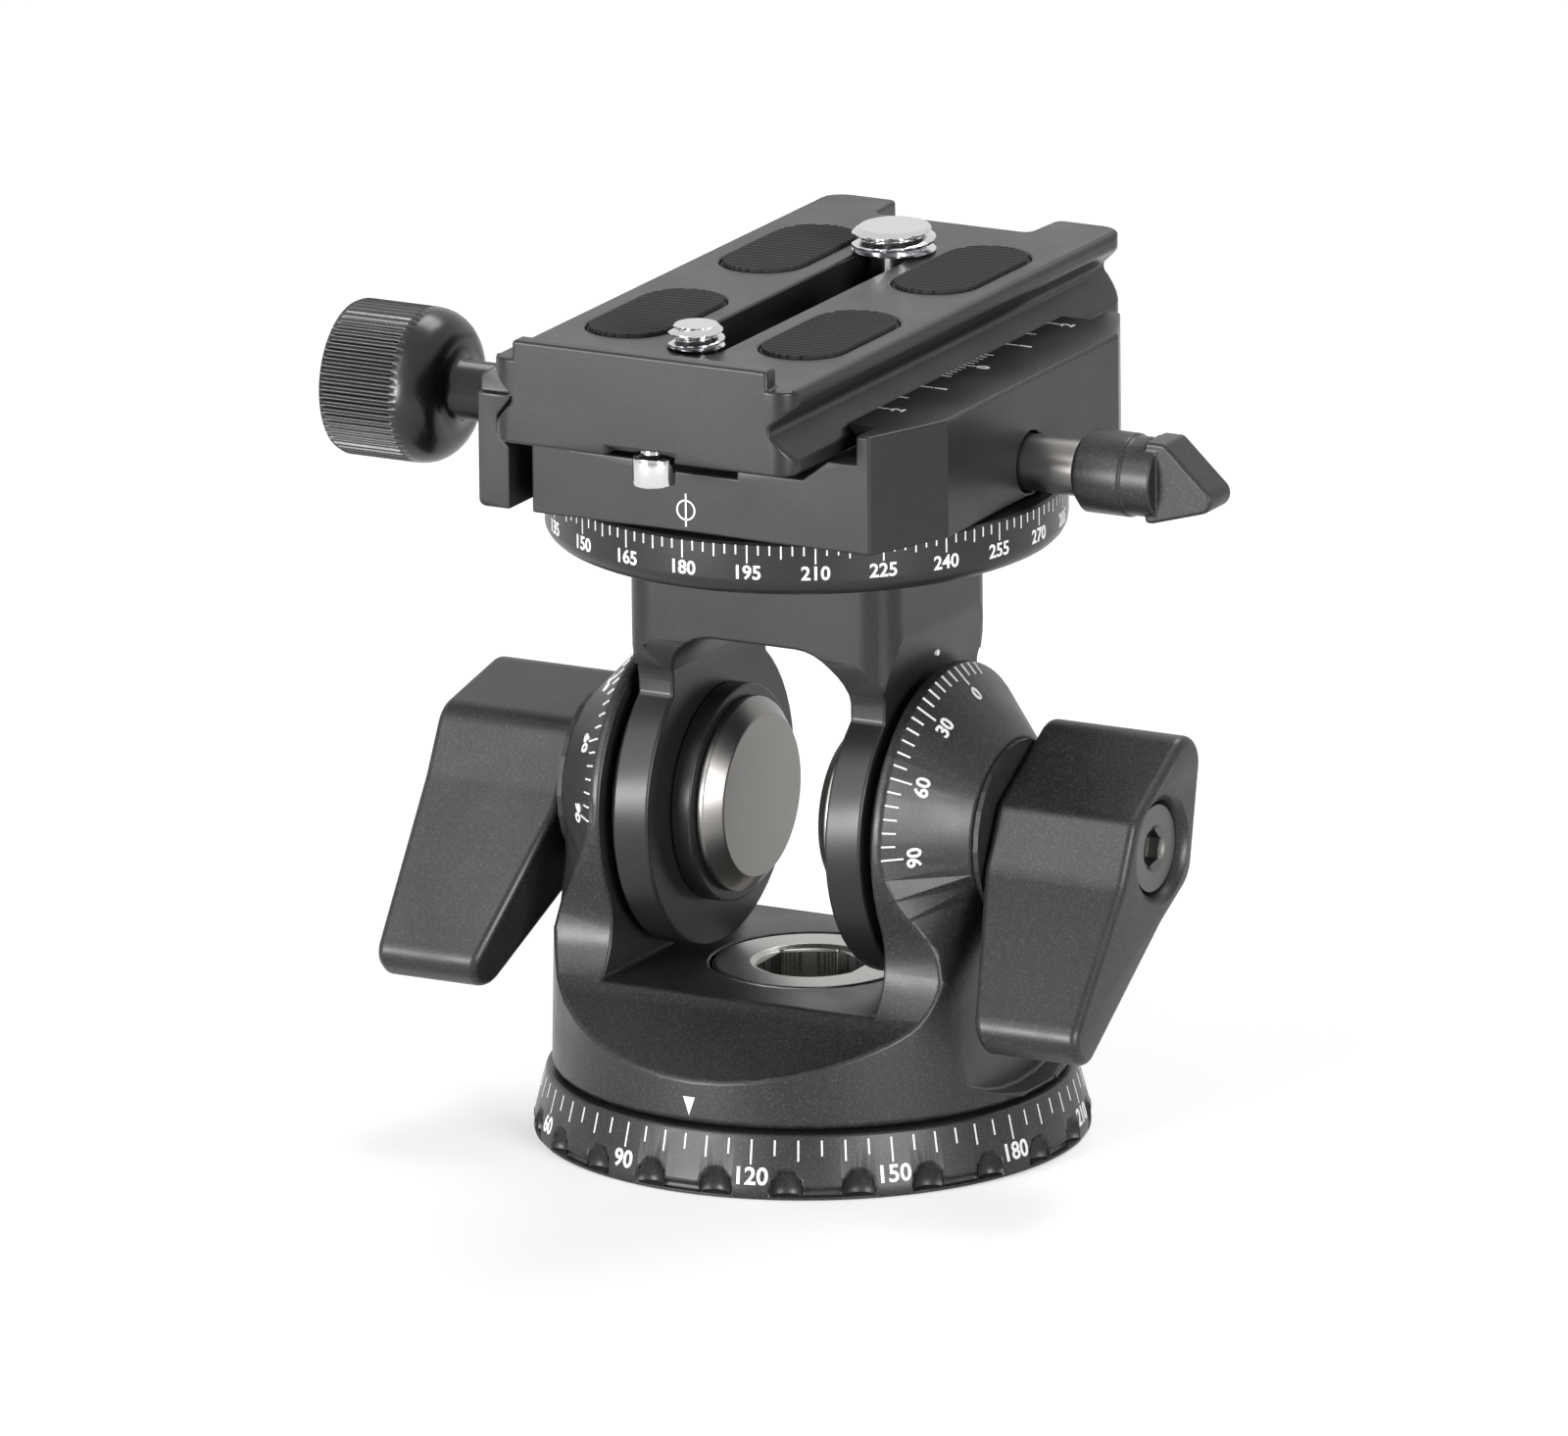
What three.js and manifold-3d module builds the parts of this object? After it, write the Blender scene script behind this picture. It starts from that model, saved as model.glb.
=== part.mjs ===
// Tilt head with a quick-release clamp and plate, built as separate pieces.
// Sizes are in millimetres. The origin is the centre of the base's underside, on the pan axis.
// +Z is up, the tilt axis lies along X, and the front faces -Y.

import * as THREE from 'three';
import { mergeVertices } from 'three/addons/utils/BufferGeometryUtils.js';
import Module from 'manifold-3d';

const wasm = await Module();
wasm.setup();

// Fits and overruns
const RUN = 0.3; // gap between pieces that move on one another
const SEAT = 0.1; // gap between pieces that are clamped or pressed together
const CUT = 1.5; // how far a cutter runs past the face that it opens
const WELD = 1e-4; // points closer than this are one point

// Roundness
const LARGE_SIDES = 48;
const MEDIUM_SIDES = 28;
const SMALL_SIDES = 16;
const HEX_SIDES = 6;
const CHORD = 0.03; // how far a flat may lie inside a drawn arc

// Base ring, the bolt that holds it and its sliding washer
const base = {
  footRadius: 31.4,
  footHeight: 1.5,
  topRadius: 29.9,
  height: 7.3,
  edge: 0.4,
  notchCount: 24,
  notchRadius: 2.1,
  notchTipRadius: 0.8,
  notchHeight: 3.7,
  notchDepth: 1.1,
  flatWidth: 4.6,
  flatHeight: 1.4,
  flatDepth: 0.6,
};
const baseBolt = {
  shankRadius: 8,
  shankFoot: 0.9,
  flangeRadius: 11.2,
  flangeThickness: 1.7,
  edge: 0.4,
  socketAcross: 11,
  socketRimRadius: 6.8,
  socketRimDepth: 0.5,
  socketDepth: 6.4,
  threadRadius: 4.765,
  threadDepth: 10.6,
};
const baseWasher = { innerRadius: 18, width: 9.5, thickness: 1.2 };
baseWasher.outerRadius = baseWasher.innerRadius + baseWasher.width;

// Pivot: a bolt through each arm of the yoke, out to the wing knob that clamps it
const pivot = {
  capFaceX: 6,
  capFaceRadius: 9.3,
  capBevel: 1.7,
  capRadius: 11.1,
  capRim: 0.8,
  shankRadius: 5,
  shankReach: 11,
  threadDepth: 10,
};
pivot.capBackX = pivot.capFaceX + pivot.capBevel + pivot.capRim;
const bossRing = { radius: 12.4, thickness: 2.5 };
const frictionWasher = { width: 10.2, thickness: 1.1 };
const thrustWasher = { width: 5, thickness: 0.6 };
thrustWasher.outerRadius = pivot.shankRadius + RUN + thrustWasher.width;

// Housing: the fork that turns on the base and carries the tilt axis
const housing = {
  footRadius: 29.3,
  crownRadius: 28.1,
  edge: 0.4,
  floorThickness: 11.4,
  scoopAngle: THREE.MathUtils.degToRad(27.5),
  scoopRimY: 29.6,
  scoopRimDrop: 6.65,
  earRadius: 18.1,
  earThickness: 8.8,
  filletRadius: 8.6,
  pocketRadius: 29.5,
  coneSlopeShare: 1,
  coneEndAngle: THREE.MathUtils.degToRad(90),
  flankStartAngle: THREE.MathUtils.degToRad(145),
};
housing.footZ = base.height + RUN;
housing.floorZ = housing.footZ + housing.floorThickness;
housing.neckRadius = thrustWasher.outerRadius + 2 * SEAT;

// Yoke: the part that tilts. Heights are above the tilt axis
const yoke = {
  armThickness: 4.5,
  eyeSetback: 0.4,
  eyeClearance: 0.8,
  shoulderStep: 1.3,
  shoulderRise: 6.5,
  shoulderFoot: 16.5,
  archHeight: 21.5,
  archRadius: 6,
  height: 31.6,
  depth: 26,
  waist: 22.4,
  waistHeight: 16.1,
  hipRise: 3.9,
  waistRound: 3,
  hipRound: 6,
  cornerRadius: 4,
};
yoke.armInnerX = pivot.capBackX + bossRing.thickness + 2 * SEAT;
yoke.eyeOuterX = yoke.armInnerX + yoke.armThickness;
yoke.eyeRadius = housing.earRadius - yoke.eyeSetback;
yoke.shoulderX = yoke.eyeOuterX + yoke.shoulderStep;
const tiltAxisZ = housing.floorZ + yoke.eyeRadius + yoke.eyeClearance;
yoke.topZ = tiltAxisZ + yoke.height;
yoke.waistZ = tiltAxisZ + yoke.waistHeight;
housing.crownZ = tiltAxisZ + housing.earRadius + CUT;
housing.earInnerX = yoke.eyeOuterX + SEAT + frictionWasher.thickness + RUN;
housing.earOuterX = housing.earInnerX + housing.earThickness;

// Wing knob: one shape, used on both sides
const wing = {
  height: 17.65,
  reach: 28,
  bevel: 0.8,
  slantStart: 8,
  slantAngle: Math.atan(0.25),
  recessRadius: 5.57,
  recessRimRadius: 6.5,
  recessRim: 0.7,
  screwHeadDepth: 0.95,
  rightTail: THREE.MathUtils.degToRad(223.6),
  leftTail: THREE.MathUtils.degToRad(226),
};
wing.hubX = housing.earOuterX + SEAT + thrustWasher.thickness + RUN;
// Corners of the wing's outline and their radii, as shares of its reach, along and across the tail
const wingShares = [
  [-0.654, -0.111, 0.125],
  [0.05, -0.279, 0.09],
  [0.296, -0.186, 0.28],
  [1, -0.096, 0.1],
  [1, 0.093, 0.09],
  [0.214, 0.225, 0.36],
  [-0.061, 0.304, 0.143],
];
const knobScrew = {
  headRadius: 5,
  headThickness: 2.5,
  shankRadius: 3,
  shankLength: 10.5,
  socketAcross: 4,
  socketDepth: 1.8,
  sinkRadius: 2.7,
  sinkDepth: 0.4,
};

// Pan disc, its washer, and the retainer and bolt that hold the clamp down on it
const disc = {
  radius: 29.4,
  thickness: 6.3,
  roundWidth: 2.2,
  roundHeight: 2.1,
  edge: 0.3,
  spindleRadius: 8,
};
disc.bottomZ = yoke.topZ + SEAT;
disc.topZ = disc.bottomZ + disc.thickness;
// The rounded lower edge, as shares of its width and height
const discRoundShares = [[0, 0], [0.5, 0.14], [0.86, 0.5], [1, 1]];
const panWasher = { innerRadius: 16, width: 10, thickness: 0.9 };
panWasher.outerRadius = panWasher.innerRadius + panWasher.width;
const retainer = { radius: 10.3, thickness: 1.3 };
const panBolt = { shankRadius: 3, depth: 7.6, headRadius: 4.2, socketAcross: 4, socketDepth: 1 };
panBolt.footZ = yoke.topZ - panBolt.depth;

// Plate. Its section is a stack of heights, from the lower flange up to the deck
const plate = {
  centreX: -0.4,
  halfWidth: 19,
  flankDepth: 2.8,
  lowerFlange: 1.7,
  lowerFlank: 3,
  neck: 0.8,
  upperFlank: 2.4,
  deck: 1.8,
  edge: 0.4,
  frontY: -38.3,
  rearY: 42.6,
  frontCorner: 2.5,
  rearCorner: 3,
  bayDepth: 6.3,
  bayHalfWidth: 9.8,
  bayMouthHalfWidth: 10.2,
  bayRound: 1,
  lipHalfWidth: 16,
  lipThickness: 2.4,
  lipHeight: 2.2,
  slotHalfWidth: 3.2,
  slotFrontMargin: 10.4,
  slotRearMargin: 14.6,
  channelWall: 4.2,
  channelRoof: 4,
  notchHalfWidth: 4.3,
  notchDepth: 1,
};
plate.leftX = plate.centreX - plate.halfWidth;
plate.rightX = plate.centreX + plate.halfWidth;
plate.slotFrontY = plate.frontY + plate.slotFrontMargin;
plate.slotRearY = plate.rearY - plate.slotRearMargin;

// Clamp body: the left face lies under the plate's edge, and the fixed jaw stands on the right
const clamp = {
  frontY: -28.4,
  rearY: 32.2,
  floorThickness: 7.9,
  ledgeHeight: 2.5,
  ledgeStepHeight: 1.2,
  ledgeWidth: 3.5,
  ledgeStepWidth: 1.6,
  lipHeight: 1.2,
  wallGap: 2.8,
  wallThickness: 6,
  wallBendDrop: 0.8,
  chamferX: 4.3,
  frontChamferY: 10.6,
  rearChamferY: 8.8,
  edge: 0.5,
  reliefLength: 4.2,
  slotWidth: 12.8,
  slotDepth: 0.9,
  slotLength: 4,
};
clamp.leftX = plate.leftX - SEAT;
clamp.wallX = plate.rightX + clamp.wallGap;
clamp.rightX = clamp.wallX + clamp.wallThickness;
clamp.bottomZ = disc.topZ + RUN;
clamp.floorZ = clamp.bottomZ + clamp.floorThickness;
clamp.ledgeZ = clamp.floorZ + clamp.ledgeHeight;
clamp.axisZ = (clamp.bottomZ + clamp.floorZ) / 2;
disc.spindleTopZ = clamp.floorZ - RUN - retainer.thickness - SEAT;

// Levels of the plate above the clamp's ledges
plate.bottomZ = clamp.ledgeZ + RUN;
plate.lowerFlangeZ = plate.bottomZ + plate.lowerFlange;
plate.neckBottomZ = plate.lowerFlangeZ + plate.lowerFlank;
plate.neckTopZ = plate.neckBottomZ + plate.neck;
plate.upperFlangeZ = plate.neckTopZ + plate.upperFlank;
plate.topZ = plate.upperFlangeZ + plate.deck;
plate.channelTopZ = plate.topZ - plate.channelRoof;
clamp.topZ = plate.lowerFlangeZ + clamp.lipHeight;
clamp.wallBendZ = plate.lowerFlangeZ - clamp.wallBendDrop;

// Pads, stop screw and camera screws on the plate
const pad = {
  length: 21.8,
  width: 10,
  thickness: 0.8,
  proud: 0.3,
  slotMargin: 2.7,
  frontY: -13.8,
  rearY: 17.8,
  gap: 0.15,
};
pad.offsetX = plate.slotHalfWidth + pad.slotMargin + pad.width / 2;
const stopScrew = { inset: 3.3, radius: 2.4, drop: 3.5, shankRadius: 1.5, shankLength: 4, edge: 0.4 };
const largeScrew = { radius: 4.76, rise: 3, neckRadius: 2.8, edge: 0.7, slotWidth: 1.6, inset: 5.7 };
const smallScrew = { radius: 3.175, rise: 2.7, neckRadius: 2.3, edge: 0.6, slotWidth: 1.3, inset: 3.2 };
largeScrew.y = plate.slotRearY - largeScrew.inset;
smallScrew.y = plate.slotFrontY + smallScrew.inset;
const screwHead = { radius: 6.6, thickness: 2.4, slotDepth: 1.2 };
const screwWasher = { radius: 6.4, thickness: 0.9 };
plate.channelHalfWidth = screwHead.radius + 2 * RUN + 2 * SEAT;

// Moving jaw, its pins, screw and knob. The jaw's steps lie outward of its inner face
const jaw = {
  gap: 2.8,
  thickness: 4,
  crestStep: 1.8,
  crestRise: 1,
  shoulderDrop: 1.5,
  noseStep: 0.2,
  noseRise: 0.8,
  recessStep: 1.4,
  recessHalfHeight: 0.7,
  edge: 0.8,
  lipThickness: 0.8,
  lipGap: 0.5,
  reliefLength: 4.2,
  crestSetback: 0.8,
  bossLength: 6.9,
  bossHalfWidth: 5.6,
  bossFootHalfWidth: 9.4,
  bossRise: 1.3,
};
jaw.innerX = clamp.leftX - jaw.gap;
jaw.outerX = jaw.innerX - jaw.thickness;
jaw.bossX = jaw.outerX - jaw.bossLength;
const guidePin = { radius: 1.5, spread: 17, depth: 9.5, sunk: 3.2 };
guidePin.innerX = clamp.leftX + guidePin.depth;
const clampScrew = { radius: 2.5, depth: 8.5, sunk: 6 };
clampScrew.innerX = clamp.leftX + clampScrew.depth;
const clampWasher = { outerRadius: 4.2, thickness: 0.9 };
const clampKnob = {
  y: 2.2,
  radius: 8.9,
  length: 12.6,
  ribCount: 60,
  ribDepth: 0.35,
  outerEdge: 0.8,
  innerRound: 3,
  neckRadius: 4.45,
  neckLength: 11.7,
};
// The rounded inner end of the clamp knob, as shares of its round, inward and along
const knobRoundShares = [[0, 0], [0.2, 0.6], [0.67, 0.93], [1.1, 1]];
clampKnob.neckEndX = jaw.bossX - clampWasher.thickness - 2 * RUN;
clampKnob.innerX = clampKnob.neckEndX - clampKnob.neckLength;
clampKnob.outerX = clampKnob.innerX - clampKnob.length;

// Pan lock: a stud that presses a shoe on the spindle, and its pointer knob
const panLock = {
  y: 2.2,
  holeRadius: 3.55,
  studRadius: 3.2,
  studShowing: 6.9,
  studSunk: 3.4,
  studDepth: 4,
  threadRadius: 2.4,
  shoeRadius: 1.5,
  shoeLength: 4,
  bodyRadius: 4.75,
  bodyLength: 6.2,
  neckRadius: 4.5,
  neckLength: 3.2,
  wingLength: 9,
  wingHalfWidth: 4.7,
  wingTipDrop: 2.1,
  wingThickness: 5.2,
  heelStep: 1.7,
  tipRadius: 1.6,
  edge: 0.9,
};
panLock.threadEndX = clamp.rightX - panLock.studSunk;
panLock.bodyX = clamp.rightX + panLock.studShowing;
panLock.stepX = panLock.bodyX + panLock.bodyLength;
panLock.wingX = panLock.stepX + panLock.neckLength;

// Shared finishes
const blackAnodised = new THREE.MeshStandardMaterial({ color: 0x1b1b1d, roughness: 0.5, metalness: 0.6 });
const blackBlasted = new THREE.MeshStandardMaterial({ color: 0x232326, roughness: 0.65, metalness: 0.5 });
const steel = new THREE.MeshStandardMaterial({ color: 0x8f8d8a, roughness: 0.35, metalness: 1 });
const chrome = new THREE.MeshStandardMaterial({ color: 0xc9c9cb, roughness: 0.15, metalness: 1 });
const rubber = new THREE.MeshStandardMaterial({ color: 0x161617, roughness: 0.95, metalness: 0 });
const lowFriction = new THREE.MeshStandardMaterial({ color: 0x2b2b2c, roughness: 0.7, metalness: 0 });

// Solids

/** Keeps positions only, welds shared points and drops triangles that have no area. */
function cleaned(geometry) {
  const bare = geometry.clone();
  Object.keys(bare.attributes)
    .filter((name) => name !== 'position')
    .forEach((name) => bare.deleteAttribute(name));
  const welded = mergeVertices(bare, WELD);
  const kept = [];
  for (let i = 0; i < welded.index.count; i += 3) {
    const [a, b, c] = [0, 1, 2].map((step) => welded.index.getX(i + step));
    if (a !== b && b !== c && c !== a) kept.push(a, b, c);
  }
  welded.setIndex(kept);
  return welded;
}

/** The manifold solid of a closed geometry. */
function toManifold(geometry) {
  const bare = cleaned(geometry);
  const vertProperties = new Float32Array(bare.attributes.position.array);
  const triVerts = Uint32Array.from(bare.index.array);
  return new wasm.Manifold(new wasm.Mesh({ numProp: 3, vertProperties, triVerts }));
}

/** The three.js geometry of a manifold solid. */
function toGeometry(manifold) {
  const mesh = manifold.getMesh();
  const geometry = new THREE.BufferGeometry();
  const positions = new Float32Array(mesh.vertProperties);
  geometry.setAttribute('position', new THREE.BufferAttribute(positions, mesh.numProp));
  geometry.setIndex([...mesh.triVerts]);
  return geometry;
}

const cut = (body, ...tools) =>
  toGeometry(tools.reduce((left, tool) => left.subtract(toManifold(tool)), toManifold(body)));
const join = (first, ...rest) =>
  toGeometry(rest.reduce((sum, piece) => sum.add(toManifold(piece)), toManifold(first)));
const common = (first, ...rest) =>
  toGeometry(rest.reduce((sum, piece) => sum.intersect(toManifold(piece)), toManifold(first)));

/** A solid turned about +Z from a closed outline of [radius, height], anticlockwise. */
function turned(points, sides = MEDIUM_SIDES) {
  const outline = [...points, points[0]].map(([radius, height]) => new THREE.Vector2(radius, height));
  return new THREE.LatheGeometry(outline, sides).rotateX(Math.PI / 2);
}

/** A rod along +Z between two heights. */
const rod = (radius, from, to, sides = MEDIUM_SIDES) =>
  turned([[0, from], [radius, from], [radius, to], [0, to]], sides);

/** A ring along +Z between two heights. */
const ring = (inner, outer, from, to, sides = MEDIUM_SIDES) =>
  turned([[inner, from], [outer, from], [outer, to], [inner, to]], sides);

/** A box between three pairs of limits. */
const block = ([x0, x1], [y0, y1], [z0, z1]) =>
  new THREE.BoxGeometry(x1 - x0, y1 - y0, z1 - z0).translate((x0 + x1) / 2, (y0 + y1) / 2, (z0 + z1) / 2);

/** Points on an arc, from one angle to another. */
function arc(centreX, centreY, radius, from, to) {
  const stepAngle = 2 * Math.acos(1 - CHORD / radius);
  const steps = Math.max(2, Math.ceil(Math.abs(to - from) / stepAngle));
  return Array.from({ length: steps + 1 }, (_, i) => {
    const angle = from + ((to - from) * i) / steps;
    return [centreX + radius * Math.cos(angle), centreY + radius * Math.sin(angle)];
  });
}

/** Points of the arc that rounds the corner at `here`. */
function roundedCorner(before, here, after, radius) {
  const back = before.clone().sub(here).normalize();
  const ahead = after.clone().sub(here).normalize();
  const half = back.angleTo(ahead) / 2;
  const centre = back.clone().add(ahead).normalize().multiplyScalar(radius / Math.sin(half)).add(here);
  const first = back.multiplyScalar(radius / Math.tan(half)).add(here).sub(centre);
  const last = ahead.multiplyScalar(radius / Math.tan(half)).add(here).sub(centre);
  const sweep = Math.atan2(first.cross(last), first.dot(last));
  return arc(centre.x, centre.y, radius, first.angle(), first.angle() + sweep);
}

/** A closed shape through [x, y] points; a third value rounds that corner. */
function outline(points) {
  const corners = points.map(([x, y]) => new THREE.Vector2(x, y));
  const count = corners.length;
  const path = points.flatMap(([x, y, radius = 0], i) =>
    radius > 0
      ? roundedCorner(corners[(i + count - 1) % count], corners[i], corners[(i + 1) % count], radius)
      : [[x, y]],
  );
  return new THREE.Shape(path.map(([x, y]) => new THREE.Vector2(x, y)));
}

/** A prism along Z of an outline in X and Y. */
const prismZ = (points, from, to) =>
  new THREE.ExtrudeGeometry(outline(points), { depth: to - from, bevelEnabled: false }).translate(0, 0, from);

/** A prism along Y of an outline in X and Z. */
const prismY = (points, from, to) => prismZ(points, -to, -from).rotateX(Math.PI / 2);

/** Turns what stands along +Z so that it lies along +X, with local x to Y and local y to Z. */
const Z_TO_X = new THREE.Matrix4().makeBasis(
  new THREE.Vector3(0, 1, 0),
  new THREE.Vector3(0, 0, 1),
  new THREE.Vector3(1, 0, 0),
);
const alongX = (geometry) => geometry.applyMatrix4(Z_TO_X);

/** A prism along X of an outline in Y and Z. */
const prismX = (points, from, to) => alongX(prismZ(points, from, to));

/** A rod along X at a place in Y and Z. */
const rodX = (radius, from, to, y, z, sides = MEDIUM_SIDES) =>
  alongX(rod(radius, from, to, sides)).translate(0, y, z);

/** A hexagonal rod along +Z, by its width across flats. */
const hexRod = (across, from, to) => rod(across / 2 / Math.cos(Math.PI / HEX_SIDES), from, to, HEX_SIDES);

/** The mirrored copy of an outline's points across its second axis, in reverse order. */
const mirrored = (points) => points.map(([x, ...rest]) => [-x, ...rest]).reverse();

/** Turns a solid half way round the pan axis, so that a right-hand piece serves on the left. */
const onLeft = (geometry) => geometry.rotateZ(Math.PI);

// Assembly
const head = new THREE.Group();
head.name = 'tilt_head';

function piece(name, geometry, material) {
  const mesh = new THREE.Mesh(cleaned(geometry), material);
  mesh.name = name;
  head.add(mesh);
}

// Base ring: a flared skirt with grip notches and shallow flats between every second pair
function makeBaseRing() {
  const bore = baseBolt.shankRadius + RUN;
  const grooveZ = base.height - baseWasher.thickness - SEAT;
  const body = turned([
    [bore, 0],
    [base.footRadius - base.edge, 0],
    [base.footRadius, base.edge],
    [base.footRadius, base.footHeight],
    [base.topRadius, base.height - base.edge],
    [base.topRadius - base.edge, base.height],
    [baseWasher.outerRadius + SEAT, base.height],
    [baseWasher.outerRadius + SEAT, grooveZ],
    [baseWasher.innerRadius - SEAT, grooveZ],
    [baseWasher.innerRadius - SEAT, base.height],
    [bore, base.height],
  ], LARGE_SIDES);
  const pitch = (2 * Math.PI) / base.notchCount;
  const notchPlace = base.footRadius - base.notchDepth + base.notchRadius;
  const notches = Array.from({ length: base.notchCount }, (_, i) =>
    turned([
      [0, -CUT],
      [base.notchRadius, -CUT],
      [base.notchTipRadius, base.notchHeight],
      [0, base.notchHeight],
    ], SMALL_SIDES / 2)
      .translate(notchPlace, 0, 0)
      .rotateZ((i + 0.5) * pitch));
  const flats = Array.from({ length: base.notchCount / 2 }, (_, i) =>
    block(
      [base.footRadius - base.flatDepth, base.footRadius + CUT],
      [-base.flatWidth / 2, base.flatWidth / 2],
      [-CUT, base.flatHeight],
    ).rotateZ(2 * i * pitch));
  return cut(body, ...notches, ...flats);
}

// Base bolt: screws into the ring from above and takes the support's stud from below
function makeBaseBolt() {
  const top = housing.floorZ;
  const flangeFoot = top - baseBolt.flangeThickness;
  const body = turned([
    [0, baseBolt.shankFoot],
    [baseBolt.shankRadius, baseBolt.shankFoot],
    [baseBolt.shankRadius, flangeFoot],
    [baseBolt.flangeRadius, flangeFoot],
    [baseBolt.flangeRadius, top - baseBolt.edge],
    [baseBolt.flangeRadius - baseBolt.edge, top],
    [0, top],
  ]);
  const socket = hexRod(baseBolt.socketAcross, top - baseBolt.socketDepth, top + CUT);
  const rim = turned([
    [0, top - baseBolt.socketRimDepth],
    [baseBolt.socketRimRadius - baseBolt.socketRimDepth, top - baseBolt.socketRimDepth],
    [baseBolt.socketRimRadius, top],
    [baseBolt.socketRimRadius, top + CUT],
    [0, top + CUT],
  ]);
  const thread = rod(baseBolt.threadRadius, -CUT, baseBolt.shankFoot + baseBolt.threadDepth);
  return cut(body, socket, rim, thread);
}

piece('base_ring', makeBaseRing(), blackBlasted);
piece('base_bolt', makeBaseBolt(), steel);

/** A flat washer whose top lies flush at a level. */
const letIn = (washer, topZ) =>
  ring(washer.innerRadius, washer.outerRadius, topZ - washer.thickness, topZ, LARGE_SIDES);

piece('base_washer', letIn(baseWasher, base.height), lowFriction);

// Side view of the housing: round ears, a fillet at their foot and the sloping scoop in front and behind
function housingSideView() {
  const normal = new THREE.Vector2(Math.sin(housing.scoopAngle), Math.cos(housing.scoopAngle));
  const downhill = new THREE.Vector2(normal.y, -normal.x);
  const axis = new THREE.Vector2(0, tiltAxisZ);
  const rim = new THREE.Vector2(housing.scoopRimY, housing.floorZ - housing.scoopRimDrop);
  const lift = housing.filletRadius - normal.dot(axis.clone().sub(rim));
  const reach = housing.earRadius + housing.filletRadius;
  const run = Math.sqrt(reach ** 2 - lift ** 2);
  const centre = axis.clone().addScaledVector(normal, lift).addScaledVector(downhill, run);
  const meet = centre.clone().sub(axis).angle() - 2 * Math.PI;
  const ear = arc(axis.x, axis.y, housing.earRadius, Math.PI / 2, meet);
  const fillet = arc(centre.x, centre.y, housing.filletRadius, meet + Math.PI, normal.angle() + Math.PI);
  const beyond = rim.clone().addScaledVector(downhill, housing.earRadius);
  const right = [...ear, ...fillet.slice(1), [beyond.x, beyond.y], [beyond.x, -CUT]];
  return [...right, ...mirrored(right.slice(1))];
}

// The space outside an ear: a cone above the axis that opens into the flat under the wing knob
function earOutside() {
  const rings = [housing.neckRadius, housing.earRadius, housing.pocketRadius];
  const far = housing.footRadius + CUT;
  const points = [[housing.earOuterX, 0, tiltAxisZ], [far, 0, tiltAxisZ]];
  for (let i = 0; i < LARGE_SIDES; i += 1) {
    const angle = (2 * Math.PI * i) / LARGE_SIDES;
    const fromTop = Math.abs(THREE.MathUtils.euclideanModulo(angle + Math.PI, 2 * Math.PI) - Math.PI);
    const flare = THREE.MathUtils.smoothstep(fromTop, housing.coneEndAngle, housing.flankStartAngle);
    const slope = housing.coneSlopeShare * (1 - flare);
    rings.forEach((radius) => {
      const x = housing.earOuterX - (radius - housing.neckRadius) * slope;
      points.push([x, radius * Math.sin(angle), tiltAxisZ + radius * Math.cos(angle)]);
    });
    const outer = housing.pocketRadius;
    points.push([far, outer * Math.sin(angle), tiltAxisZ + outer * Math.cos(angle)]);
  }
  const perStep = rings.length + 1;
  const at = (step, level) => 2 + (step % LARGE_SIDES) * perStep + level;
  const index = [];
  for (let i = 0; i < LARGE_SIDES; i += 1) {
    index.push(0, at(i, 0), at(i + 1, 0));
    index.push(1, at(i + 1, perStep - 1), at(i, perStep - 1));
    for (let level = 0; level + 1 < perStep; level += 1) {
      index.push(at(i, level), at(i, level + 1), at(i + 1, level + 1));
      index.push(at(i, level), at(i + 1, level + 1), at(i + 1, level));
    }
  }
  const geometry = new THREE.BufferGeometry();
  geometry.setAttribute('position', new THREE.Float32BufferAttribute(points.flat(), 3));
  geometry.setIndex(index);
  return geometry;
}

function makeHousing() {
  const drum = turned([
    [0, housing.footZ],
    [housing.footRadius - housing.edge, housing.footZ],
    [housing.footRadius, housing.footZ + housing.edge],
    [housing.crownRadius, housing.crownZ],
    [0, housing.crownZ],
  ], LARGE_SIDES);
  const across = housing.footRadius + CUT;
  const fork = common(drum, prismX(housingSideView(), -across, across));
  const between = block(
    [-housing.earInnerX, housing.earInnerX],
    [-across, across],
    [housing.floorZ, housing.crownZ + CUT],
  );
  const flangeSeat = housing.floorZ - baseBolt.flangeThickness - RUN;
  return cut(
    fork,
    between,
    earOutside(),
    onLeft(earOutside()),
    rod(baseBolt.shankRadius + RUN, housing.footZ - CUT, housing.floorZ + CUT),
    rod(baseBolt.flangeRadius + RUN, flangeSeat, housing.floorZ + CUT),
    rodX(pivot.shankRadius + RUN, -across, across, 0, tiltAxisZ),
  );
}

piece('tilt_housing', makeHousing(), blackBlasted);

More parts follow.
